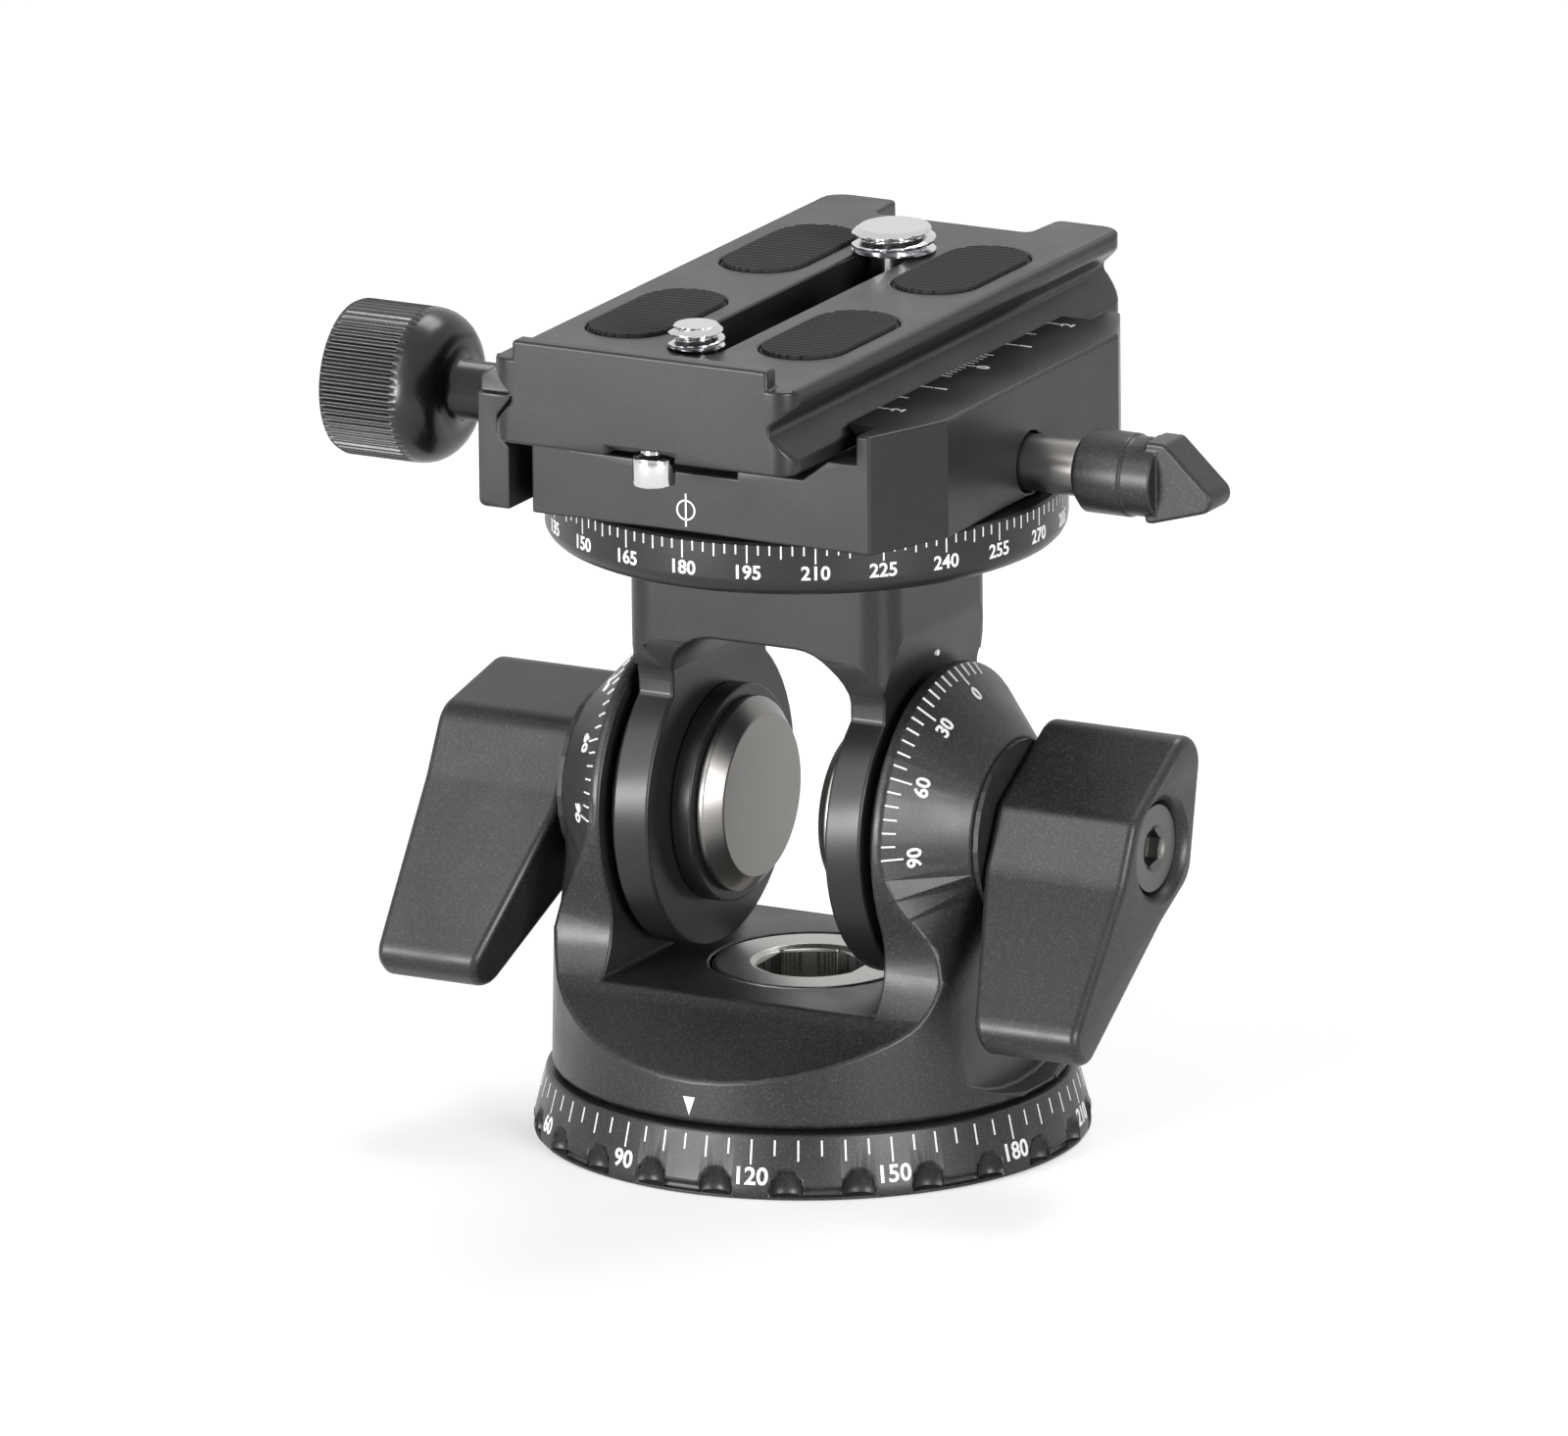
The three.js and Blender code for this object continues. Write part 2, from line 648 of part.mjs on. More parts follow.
// Yoke: front view with the arch, side view with the eyes, and rounded upper corners
function makeYoke() {
  const halfDepth = yoke.depth / 2;
  const footZ = tiltAxisZ - yoke.eyeRadius - CUT;
  const shoulderFootZ = tiltAxisZ + yoke.shoulderFoot;
  const halfFront = [
    [yoke.shoulderX, yoke.topZ],
    [yoke.shoulderX, shoulderFootZ + yoke.shoulderRise, yoke.hipRound],
    [yoke.eyeOuterX, shoulderFootZ, yoke.hipRound],
    [yoke.eyeOuterX, footZ],
    [yoke.armInnerX, footZ],
    [yoke.armInnerX, tiltAxisZ + yoke.archHeight, yoke.archRadius],
  ];
  const front = prismY([...halfFront, ...mirrored(halfFront)], -yoke.eyeRadius - CUT, yoke.eyeRadius + CUT);
  const halfWaist = yoke.waist / 2;
  const meet = Math.acos(halfWaist / yoke.eyeRadius);
  const halfSide = [
    ...arc(0, tiltAxisZ, yoke.eyeRadius, -Math.PI / 2, meet),
    [halfWaist, yoke.waistZ, yoke.waistRound],
    [halfDepth, yoke.waistZ + yoke.hipRise, yoke.waistRound],
    [halfDepth, yoke.topZ + CUT],
  ];
  const wide = yoke.shoulderX + CUT;
  const side = prismX([...halfSide, ...mirrored(halfSide.slice(1))], -wide, wide);
  const frame = block([-wide, wide], [-halfDepth - CUT, halfDepth + CUT], [yoke.waistZ, yoke.topZ + CUT]);
  const roundedPlan = [[1, 1], [-1, 1], [-1, -1], [1, -1]]
    .map(([x, y]) => [x * yoke.shoulderX, y * halfDepth, yoke.cornerRadius]);
  const corners = cut(frame, prismZ(roundedPlan, yoke.waistZ - CUT, yoke.topZ + 2 * CUT));
  return cut(
    common(front, side),
    corners,
    rodX(pivot.shankRadius + SEAT, -wide, wide, 0, tiltAxisZ),
    rod(panBolt.shankRadius + RUN, panBolt.footZ - RUN, yoke.topZ + CUT, SMALL_SIDES),
  );
}

piece('tilt_yoke', makeYoke(), blackAnodised);

// Right pivot bolt: bevelled cap inside the arch, shank out to the wing knob
function makePivotBolt() {
  const capRimX = pivot.capFaceX + pivot.capBevel;
  const shankEndX = wing.hubX + pivot.shankReach;
  const threadRadius = knobScrew.shankRadius + SEAT;
  return alongX(turned([
    [0, pivot.capFaceX],
    [pivot.capFaceRadius, pivot.capFaceX],
    [pivot.capRadius, capRimX],
    [pivot.capRadius, pivot.capBackX],
    [pivot.shankRadius, pivot.capBackX],
    [pivot.shankRadius, shankEndX],
    [threadRadius, shankEndX],
    [threadRadius, shankEndX - pivot.threadDepth],
    [0, shankEndX - pivot.threadDepth],
  ])).translate(0, 0, tiltAxisZ);
}

/** A ring along X round the tilt axis, seated on a face at `from`. */
const tiltRing = (inner, outer, from, thickness) =>
  alongX(ring(inner, outer, from + SEAT, from + SEAT + thickness)).translate(0, 0, tiltAxisZ);

function addPivot(side, place) {
  const seated = pivot.shankRadius + SEAT;
  const loose = pivot.shankRadius + RUN;
  const boss = tiltRing(seated, bossRing.radius, pivot.capBackX, bossRing.thickness);
  const friction = tiltRing(loose, loose + frictionWasher.width, yoke.eyeOuterX, frictionWasher.thickness);
  const thrust = tiltRing(loose, thrustWasher.outerRadius, housing.earOuterX, thrustWasher.thickness);
  piece(`${side}_pivot_bolt`, place(makePivotBolt()), steel);
  piece(`${side}_boss_ring`, place(boss), blackAnodised);
  piece(`${side}_friction_washer`, place(friction), lowFriction);
  piece(`${side}_thrust_washer`, place(thrust), lowFriction);
}

// Wing knob, made with its hub face at zero, its axis along +Z and its tail along +X
function makeWing() {
  const shape = outline(wingShares.map((corner) => corner.map((share) => share * wing.reach)));
  const paddle = new THREE.ExtrudeGeometry(shape, {
    depth: wing.height - 2 * wing.bevel,
    bevelEnabled: true,
    bevelSegments: 2,
    bevelSize: wing.bevel,
    bevelThickness: wing.bevel,
    bevelOffset: -wing.bevel,
  }).translate(0, 0, wing.bevel);
  const slant = block([0, 2 * wing.reach], [-wing.reach, wing.reach], [-wing.reach, 0])
    .rotateY(-wing.slantAngle)
    .translate(wing.slantStart, 0, 0);
  const boltEnd = pivot.shankReach + RUN;
  const headFoot = wing.height - wing.screwHeadDepth - knobScrew.headThickness - SEAT;
  const bore = turned([
    [0, -CUT],
    [pivot.shankRadius + RUN, -CUT],
    [pivot.shankRadius + RUN, boltEnd],
    [knobScrew.shankRadius + RUN, boltEnd],
    [knobScrew.shankRadius + RUN, headFoot],
    [wing.recessRadius, headFoot],
    [wing.recessRadius, wing.height - wing.recessRim],
    [wing.recessRimRadius, wing.height],
    [wing.recessRimRadius, wing.height + CUT],
    [0, wing.height + CUT],
  ]);
  return cut(paddle, slant, bore);
}

function makeKnobScrew() {
  const headTop = wing.height - wing.screwHeadDepth;
  const headFoot = headTop - knobScrew.headThickness;
  const body = turned([
    [0, headFoot - knobScrew.shankLength],
    [knobScrew.shankRadius, headFoot - knobScrew.shankLength],
    [knobScrew.shankRadius, headFoot],
    [knobScrew.headRadius, headFoot],
    [knobScrew.headRadius, headTop],
    [knobScrew.sinkRadius, headTop],
    [knobScrew.sinkRadius - knobScrew.sinkDepth, headTop - knobScrew.sinkDepth],
    [0, headTop - knobScrew.sinkDepth],
  ], SMALL_SIDES);
  return cut(body, hexRod(knobScrew.socketAcross, headTop - knobScrew.socketDepth, headTop + CUT));
}

/** Puts a knob piece on the tilt axis, outward along `side` times X, its tail at an angle in Y and Z. */
function onTiltAxis(geometry, side, tailAngle) {
  const outward = new THREE.Vector3(side, 0, 0);
  const tail = new THREE.Vector3(0, Math.cos(tailAngle), Math.sin(tailAngle));
  const across = outward.clone().cross(tail);
  const turn = new THREE.Matrix4().makeBasis(tail, across, outward);
  return geometry.applyMatrix4(turn).translate(side * wing.hubX, 0, tiltAxisZ);
}

function addKnob(side, direction, tailAngle) {
  piece(`${side}_wing_knob`, onTiltAxis(makeWing(), direction, tailAngle), blackBlasted);
  piece(`${side}_knob_screw`, onTiltAxis(makeKnobScrew(), direction, tailAngle), steel);
}

addPivot('right', (geometry) => geometry);
addPivot('left', onLeft);
addKnob('right', 1, wing.rightTail);
addKnob('left', -1, wing.leftTail);

// Pan disc with its spindle, the washer let into it, and what holds the clamp down
function makePanDisc() {
  const grooveZ = disc.topZ - panWasher.thickness - SEAT;
  const bore = panBolt.shankRadius + RUN;
  const edgeRound = discRoundShares.map(([out, up]) => [
    disc.radius - (1 - out) * disc.roundWidth,
    disc.bottomZ + up * disc.roundHeight,
  ]);
  return turned([
    [bore, disc.bottomZ],
    ...edgeRound,
    [disc.radius, disc.topZ - disc.edge],
    [disc.radius - disc.edge, disc.topZ],
    [panWasher.outerRadius + SEAT, disc.topZ],
    [panWasher.outerRadius + SEAT, grooveZ],
    [panWasher.innerRadius - SEAT, grooveZ],
    [panWasher.innerRadius - SEAT, disc.topZ],
    [disc.spindleRadius, disc.topZ],
    [disc.spindleRadius, disc.spindleTopZ],
    [bore, disc.spindleTopZ],
  ], LARGE_SIDES);
}

function makeRetainer() {
  const foot = disc.spindleTopZ + SEAT;
  const top = foot + retainer.thickness;
  return turned([
    [panBolt.shankRadius + RUN, foot],
    [retainer.radius, foot],
    [retainer.radius, top],
    [panBolt.headRadius + RUN, top],
  ]);
}

function makePanBolt() {
  const top = disc.spindleTopZ + SEAT + retainer.thickness;
  const body = turned([
    [0, panBolt.footZ],
    [panBolt.shankRadius, panBolt.footZ],
    [panBolt.shankRadius, top - retainer.thickness],
    [panBolt.headRadius, top],
    [0, top],
  ], SMALL_SIDES);
  return cut(body, hexRod(panBolt.socketAcross, top - panBolt.socketDepth, top + CUT));
}

piece('pan_disc', makePanDisc(), blackAnodised);
piece('pan_washer', letIn(panWasher, disc.topZ), lowFriction);
piece('pan_retainer', makeRetainer(), steel);
piece('pan_bolt', makePanBolt(), steel);

// Clamp body: ledges that carry the plate, and the fixed jaw on the right with its undercut
function makeClampBody() {
  const flankX = (z) => plate.rightX - ((z - plate.lowerFlangeZ) * plate.flankDepth) / plate.lowerFlank;
  const lipX = (z) => flankX(z) + RUN + SEAT;
  const ledgeInner = clamp.wallX - clamp.ledgeWidth;
  const stepInner = ledgeInner - clamp.ledgeStepWidth;
  const leftLedgeInner = clamp.leftX + clamp.ledgeWidth;
  const body = prismY([
    [clamp.leftX, clamp.bottomZ],
    [clamp.rightX, clamp.bottomZ],
    [clamp.rightX, clamp.topZ, clamp.edge],
    [lipX(clamp.topZ), clamp.topZ],
    [lipX(plate.lowerFlangeZ), plate.lowerFlangeZ],
    [clamp.wallX, clamp.wallBendZ],
    [clamp.wallX, clamp.ledgeZ],
    [ledgeInner, clamp.ledgeZ],
    [stepInner, clamp.floorZ + clamp.ledgeStepHeight],
    [stepInner - clamp.ledgeStepWidth, clamp.floorZ],
    [leftLedgeInner + clamp.ledgeStepWidth, clamp.floorZ],
    [leftLedgeInner, clamp.ledgeZ],
    [clamp.leftX, clamp.ledgeZ, clamp.edge],
  ], clamp.frontY, clamp.rearY);
  const plan = prismZ([
    [clamp.leftX - CUT, clamp.frontY, clamp.edge],
    [clamp.rightX - clamp.chamferX, clamp.frontY, clamp.edge],
    [clamp.rightX, clamp.frontY + clamp.frontChamferY, clamp.edge],
    [clamp.rightX, clamp.rearY - clamp.rearChamferY, clamp.edge],
    [clamp.rightX - clamp.chamferX, clamp.rearY, clamp.edge],
    [clamp.leftX - CUT, clamp.rearY, clamp.edge],
  ], clamp.bottomZ - CUT, clamp.topZ + CUT);
  const relief = (from, to) => block([ledgeInner, clamp.wallX], [from, to], [clamp.ledgeZ, clamp.topZ + CUT]);
  const halfSlot = clamp.slotWidth / 2;
  const counterboreZ = disc.spindleTopZ + SEAT - RUN;
  const shoeEnd = disc.spindleRadius + panLock.shoeLength + RUN;
  const leftBore = (pin, y) =>
    rodX(pin.radius + RUN, clamp.leftX - CUT, pin.innerX + RUN, y, clamp.axisZ, SMALL_SIDES);
  const rightBore = (radius, from, to) => rodX(radius, from, to, panLock.y, clamp.axisZ, SMALL_SIDES);
  return cut(
    common(body, plan),
    relief(clamp.frontY - CUT, clamp.frontY + clamp.reliefLength),
    relief(clamp.rearY - clamp.reliefLength, clamp.rearY + CUT),
    block(
      [-halfSlot, halfSlot],
      [clamp.frontY - CUT, clamp.frontY + clamp.slotLength],
      [clamp.floorZ - clamp.slotDepth, clamp.floorZ + CUT],
    ),
    rod(disc.spindleRadius + RUN, clamp.bottomZ - CUT, clamp.floorZ + CUT),
    rod(retainer.radius + RUN, counterboreZ, clamp.floorZ + CUT),
    leftBore(clampScrew, clampKnob.y),
    leftBore(guidePin, clampKnob.y - guidePin.spread),
    leftBore(guidePin, clampKnob.y + guidePin.spread),
    rightBore(panLock.shoeRadius + RUN, 0, shoeEnd + CUT),
    rightBore(panLock.threadRadius + RUN, shoeEnd + RUN, clamp.rightX + CUT),
    rightBore(panLock.holeRadius, panLock.threadEndX - RUN, clamp.rightX + CUT),
  );
}

piece('clamp_body', makeClampBody(), blackAnodised);

// Pan lock: shoe, stud and pointer knob
function makeLockStud() {
  const foot = disc.spindleRadius + panLock.shoeLength + 2 * RUN;
  return alongX(turned([
    [0, foot],
    [panLock.threadRadius, foot],
    [panLock.threadRadius, panLock.threadEndX],
    [panLock.studRadius, panLock.threadEndX],
    [panLock.studRadius, panLock.bodyX + panLock.studDepth],
    [0, panLock.bodyX + panLock.studDepth],
  ], SMALL_SIDES)).translate(0, panLock.y, clamp.axisZ);
}

function makeLockKnob() {
  const body = alongX(turned([
    [0, panLock.bodyX],
    [panLock.bodyRadius - panLock.edge, panLock.bodyX],
    [panLock.bodyRadius, panLock.bodyX + panLock.edge],
    [panLock.bodyRadius, panLock.stepX],
    [panLock.neckRadius, panLock.stepX],
    [panLock.neckRadius, panLock.wingX + CUT],
    [0, panLock.wingX + CUT],
  ])).translate(0, panLock.y, clamp.axisZ);
  const halfThickness = panLock.wingThickness / 2;
  const pointer = prismY([
    [panLock.wingX, clamp.axisZ - panLock.wingHalfWidth],
    [panLock.wingX + panLock.wingLength, clamp.axisZ - panLock.wingTipDrop, panLock.tipRadius],
    [panLock.wingX + panLock.heelStep, clamp.axisZ + panLock.wingHalfWidth, panLock.edge],
    [panLock.wingX, clamp.axisZ + panLock.wingHalfWidth],
  ], panLock.y - halfThickness, panLock.y + halfThickness);
  const socket = rodX(
    panLock.studRadius + SEAT,
    panLock.bodyX - CUT,
    panLock.bodyX + panLock.studDepth + SEAT,
    panLock.y,
    clamp.axisZ,
    SMALL_SIDES,
  );
  return cut(join(body, pointer), socket);
}

function makeBrakeShoe() {
  const foot = disc.spindleRadius + RUN;
  const end = foot + panLock.shoeLength - RUN;
  return rodX(panLock.shoeRadius, foot, end, panLock.y, clamp.axisZ, SMALL_SIDES);
}

piece('brake_shoe', makeBrakeShoe(), steel);
piece('pan_lock_stud', makeLockStud(), steel);
piece('pan_lock_knob', makeLockKnob(), blackBlasted);

// Moving jaw: a bar with a lip that grips the plate, cut back at both ends, and a boss for the screw
function makeMovingJaw() {
  const flankX = (z) => plate.leftX + ((z - plate.lowerFlangeZ) * plate.flankDepth) / plate.lowerFlank;
  const lipX = (z) => flankX(z) - jaw.lipGap;
  const tipZ = plate.neckBottomZ - jaw.lipThickness;
  const crestX = jaw.innerX - jaw.crestStep;
  const crestZ = plate.neckBottomZ + jaw.crestRise;
  const noseX = jaw.innerX + jaw.noseStep;
  const noseZ = plate.lowerFlangeZ + jaw.noseRise;
  const recessX = jaw.innerX - jaw.recessStep;
  const recessFootZ = clamp.floorZ - jaw.recessHalfHeight;
  const recessTopZ = plate.bottomZ + SEAT;
  const bossTopZ = clamp.floorZ + jaw.bossRise;
  const bar = [
    [jaw.outerX, clamp.bottomZ, jaw.edge],
    [jaw.innerX, clamp.bottomZ],
    [jaw.innerX, recessFootZ],
    [recessX, clamp.floorZ + jaw.recessHalfHeight],
    [recessX, recessTopZ],
  ];
  const endBlock = prismY(
    [...bar, [noseX, noseZ - jaw.edge / 2], [noseX, noseZ], [jaw.outerX, noseZ]],
    clamp.frontY,
    clamp.rearY,
  );
  const crest = prismY(
    [...bar, [noseX, noseZ], [crestX, crestZ], [jaw.outerX, crestZ - jaw.shoulderDrop]],
    clamp.frontY + jaw.crestSetback,
    clamp.rearY - jaw.crestSetback,
  );
  const lip = prismY([
    [recessX, recessTopZ],
    [lipX(plate.lowerFlangeZ), plate.lowerFlangeZ - SEAT],
    [lipX(tipZ), tipZ],
    [lipX(tipZ), plate.neckBottomZ],
    [crestX, crestZ],
  ], clamp.frontY + jaw.reliefLength, clamp.rearY - jaw.reliefLength);
  const bossPlan = prismZ([
    [jaw.innerX, clampKnob.y - jaw.bossFootHalfWidth],
    [jaw.innerX, clampKnob.y + jaw.bossFootHalfWidth],
    [jaw.outerX, clampKnob.y + jaw.bossFootHalfWidth],
    [jaw.bossX, clampKnob.y + jaw.bossHalfWidth, jaw.edge],
    [jaw.bossX, clampKnob.y - jaw.bossHalfWidth, jaw.edge],
    [jaw.outerX, clampKnob.y - jaw.bossFootHalfWidth],
  ], clamp.bottomZ, bossTopZ);
  const within = (toX, toZ) =>
    common(bossPlan, block([jaw.bossX - CUT, toX], [clamp.frontY, clamp.rearY], [clamp.bottomZ, toZ]));
  const pinBore = (y) => rodX(
    guidePin.radius + SEAT,
    jaw.innerX - guidePin.sunk - SEAT,
    jaw.innerX + CUT,
    y,
    clamp.axisZ,
    SMALL_SIDES,
  );
  return cut(
    join(endBlock, crest, lip, within(jaw.innerX, recessFootZ), within(recessX, bossTopZ)),
    rodX(clampScrew.radius + RUN, jaw.bossX - CUT, jaw.innerX + CUT, clampKnob.y, clamp.axisZ, SMALL_SIDES),
    pinBore(clampKnob.y - guidePin.spread),
    pinBore(clampKnob.y + guidePin.spread),
  );
}

piece('moving_jaw', makeMovingJaw(), blackAnodised);
['front', 'rear'].forEach((end, i) => {
  const y = clampKnob.y + (2 * i - 1) * guidePin.spread;
  const foot = jaw.innerX - guidePin.sunk;
  piece(`${end}_guide_pin`, rodX(guidePin.radius, foot, guidePin.innerX, y, clamp.axisZ, SMALL_SIDES), steel);
});

// Clamp knob: a ribbed drum with a neck, on the screw that draws the jaw in
function makeClampKnob() {
  const innerEnd = knobRoundShares.map(([inward, along]) => [
    clampKnob.radius - inward * clampKnob.innerRound,
    clampKnob.innerX - (1 - along) * clampKnob.innerRound,
  ]);
  const profile = alongX(turned([
    [0, clampKnob.outerX],
    [clampKnob.radius - clampKnob.outerEdge, clampKnob.outerX],
    [clampKnob.radius, clampKnob.outerX + clampKnob.outerEdge],
    ...innerEnd,
    [clampKnob.neckRadius, clampKnob.innerX],
    [clampKnob.neckRadius, clampKnob.neckEndX],
    [0, clampKnob.neckEndX],
  ]));
  const ribStep = Math.PI / clampKnob.ribCount;
  const ribs = Array.from({ length: 2 * clampKnob.ribCount }, (_, i) => {
    const radius = clampKnob.radius - (i % 2) * clampKnob.ribDepth;
    return [radius * Math.cos(i * ribStep), radius * Math.sin(i * ribStep)];
  });
  const ribbed = prismX(ribs, clampKnob.outerX - CUT, clampKnob.neckEndX + CUT);
  const boreEnd = clampKnob.innerX - clampScrew.sunk - SEAT;
  const bore = alongX(rod(clampScrew.radius + SEAT, boreEnd, clampKnob.neckEndX + CUT, SMALL_SIDES));
  return cut(common(profile, ribbed), bore).translate(0, clampKnob.y, clamp.axisZ);
}

function makeClampScrew() {
  const foot = clampKnob.innerX - clampScrew.sunk;
  return rodX(clampScrew.radius, foot, clampScrew.innerX, clampKnob.y, clamp.axisZ, SMALL_SIDES);
}

function makeClampWasher() {
  const inner = clampScrew.radius + RUN;
  const foot = jaw.bossX - clampWasher.thickness - RUN;
  return alongX(ring(inner, clampWasher.outerRadius, foot, jaw.bossX - RUN, SMALL_SIDES))
    .translate(0, clampKnob.y, clamp.axisZ);
}

piece('clamp_knob', makeClampKnob(), blackBlasted);
piece('clamp_screw', makeClampScrew(), steel);
piece('clamp_washer', makeClampWasher(), lowFriction);

// Plate: dovetail rail with a raised front lip, a slot for the camera screws and pockets for the pads
function stadium([x0, x1], [y0, y1]) {
  const round = (x1 - x0) / 2 - SEAT;
  return [[x1, y0, round], [x1, y1, round], [x0, y1, round], [x0, y0, round]];
}

/** The outline of a pad or of its pocket, which is larger by a gap all round. */
function padOutline([, x, y], gap = 0) {
  const halfWidth = pad.width / 2 + gap;
  const halfLength = pad.length / 2 + gap;
  return stadium([x - halfWidth, x + halfWidth], [y - halfLength, y + halfLength]);
}

const padPlaces = [
  ['front_left_pad', -pad.offsetX, pad.frontY],
  ['front_right_pad', pad.offsetX, pad.frontY],
  ['rear_left_pad', -pad.offsetX, pad.rearY],
  ['rear_right_pad', pad.offsetX, pad.rearY],
];

function makePlate() {
  const halfRail = [
    [plate.halfWidth - plate.edge, plate.bottomZ],
    [plate.halfWidth, plate.bottomZ + plate.edge],
    [plate.halfWidth, plate.lowerFlangeZ],
    [plate.halfWidth - plate.flankDepth, plate.neckBottomZ],
    [plate.halfWidth - plate.flankDepth, plate.neckTopZ],
    [plate.halfWidth, plate.upperFlangeZ],
    [plate.halfWidth, plate.topZ - plate.edge],
    [plate.halfWidth - plate.edge, plate.topZ],
  ];
  const rail = prismY([...halfRail, ...mirrored(halfRail)], plate.frontY, plate.rearY);
  const bayY = plate.rearY - plate.bayDepth;
  const halfPlan = [
    [plate.halfWidth, plate.frontY, plate.frontCorner],
    [plate.halfWidth, plate.rearY, plate.rearCorner],
    [plate.bayMouthHalfWidth, plate.rearY, plate.bayRound],
    [plate.bayHalfWidth, bayY, plate.bayRound],
  ];
  const lipTop = plate.topZ + plate.lipHeight;
  const plan = prismZ([...halfPlan, ...mirrored(halfPlan)], plate.bottomZ - CUT, lipTop + CUT);
  const lip = prismY([
    [-plate.lipHalfWidth, plate.topZ - CUT],
    [plate.lipHalfWidth, plate.topZ - CUT],
    [plate.lipHalfWidth, lipTop, plate.edge],
    [-plate.lipHalfWidth, lipTop, plate.edge],
  ], plate.frontY, plate.frontY + plate.lipThickness);
  const slot = prismZ(
    stadium([-plate.slotHalfWidth, plate.slotHalfWidth], [plate.slotFrontY, plate.slotRearY]),
    plate.bottomZ - CUT,
    plate.topZ + CUT,
  );
  const channel = prismZ(
    stadium(
      [-plate.channelHalfWidth, plate.channelHalfWidth],
      [plate.slotFrontY - plate.channelWall, plate.slotRearY + plate.channelWall],
    ),
    plate.bottomZ - CUT,
    plate.channelTopZ,
  );
  const notch = block(
    [-plate.notchHalfWidth, plate.notchHalfWidth],
    [plate.frontY - CUT, plate.frontY + plate.lipThickness],
    [plate.bottomZ - CUT, plate.bottomZ + plate.notchDepth],
  );
  const pocketFoot = plate.topZ + pad.proud - pad.thickness - SEAT;
  const pockets = padPlaces.map((place) => prismZ(padOutline(place, pad.gap), pocketFoot, plate.topZ + CUT));
  const stopBore = rod(
    stopScrew.shankRadius + SEAT,
    plate.bottomZ - CUT,
    plate.bottomZ + plate.notchDepth + stopScrew.shankLength + SEAT,
    SMALL_SIDES,
  ).translate(0, plate.frontY + stopScrew.inset, 0);
  return cut(common(join(rail, lip), plan), slot, channel, notch, stopBore, ...pockets)
    .translate(plate.centreX, 0, 0);
}

piece('plate', makePlate(), blackAnodised);
padPlaces.forEach((place) => {
  const top = plate.topZ + pad.proud;
  const body = prismZ(padOutline(place), top - pad.thickness, top).translate(plate.centreX, 0, 0);
  piece(place[0], body, rubber);
});

function makeStopScrew() {
  const headTop = plate.bottomZ - SEAT;
  const foot = headTop - stopScrew.drop;
  return turned([
    [0, foot],
    [stopScrew.radius - stopScrew.edge, foot],
    [stopScrew.radius, foot + stopScrew.edge],
    [stopScrew.radius, headTop],
    [stopScrew.shankRadius, headTop],
    [stopScrew.shankRadius, headTop + plate.notchDepth + stopScrew.shankLength],
    [0, headTop + plate.notchDepth + stopScrew.shankLength],
  ], SMALL_SIDES).translate(plate.centreX, plate.frontY + stopScrew.inset, 0);
}

// Camera screw: head and neck below, thread above the plate, a coin slot underneath
function makeCameraScrew(screw) {
  const headTop = plate.channelTopZ - screwWasher.thickness - 2 * RUN;
  const headFoot = headTop - screwHead.thickness;
  const threadFoot = plate.topZ + RUN;
  const top = plate.topZ + screw.rise;
  const body = turned([
    [0, headFoot],
    [screwHead.radius, headFoot],
    [screwHead.radius, headTop],
    [screw.neckRadius, headTop],
    [screw.neckRadius, threadFoot],
    [screw.radius, threadFoot],
    [screw.radius, top - screw.edge],
    [screw.radius - screw.edge, top],
    [0, top],
  ], SMALL_SIDES);
  const slot = block(
    [-screwHead.radius - CUT, screwHead.radius + CUT],
    [-screw.slotWidth / 2, screw.slotWidth / 2],
    [headFoot - CUT, headFoot + screwHead.slotDepth],
  );
  return cut(body, slot).translate(plate.centreX, screw.y, 0);
}

const screwWasherRing = (screw) => {
  const top = plate.channelTopZ - RUN;
  return ring(screw.neckRadius + RUN, screwWasher.radius, top - screwWasher.thickness, top, SMALL_SIDES)
    .translate(plate.centreX, screw.y, 0);
};

piece('stop_screw', makeStopScrew(), chrome);
piece('large_camera_screw', makeCameraScrew(largeScrew), chrome);
piece('large_screw_washer', screwWasherRing(largeScrew), steel);
piece('small_camera_screw', makeCameraScrew(smallScrew), chrome);
piece('small_screw_washer', screwWasherRing(smallScrew), steel);

export default head;
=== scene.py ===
"""Looks of the tilt head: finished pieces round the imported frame, with floor, lamps and camera.

Lengths in the classes are in millimetres and angles in degrees. The pan axis is +Z, the tilt axis
lies along X, and -Y is the front.
"""

import logging
import math
from dataclasses import dataclass, field
from enum import Enum
from typing import Iterable, Sequence

import bpy
from mathutils import Matrix, Vector
from mathutils.bvhtree import BVHTree


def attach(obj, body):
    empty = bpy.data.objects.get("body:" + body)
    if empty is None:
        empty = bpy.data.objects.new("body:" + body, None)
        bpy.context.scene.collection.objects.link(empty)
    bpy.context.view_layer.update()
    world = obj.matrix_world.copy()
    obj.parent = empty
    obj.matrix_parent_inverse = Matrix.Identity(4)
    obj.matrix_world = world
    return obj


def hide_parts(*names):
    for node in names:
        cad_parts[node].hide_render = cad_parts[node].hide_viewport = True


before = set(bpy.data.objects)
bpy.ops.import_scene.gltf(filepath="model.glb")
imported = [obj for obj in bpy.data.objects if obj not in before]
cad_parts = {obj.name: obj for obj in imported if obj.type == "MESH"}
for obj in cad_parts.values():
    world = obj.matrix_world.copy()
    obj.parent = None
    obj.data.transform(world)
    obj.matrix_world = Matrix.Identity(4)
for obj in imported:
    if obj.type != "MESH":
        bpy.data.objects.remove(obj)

log = logging.getLogger("tilt_head")

MM = 0.001
FULL_TURN = 360
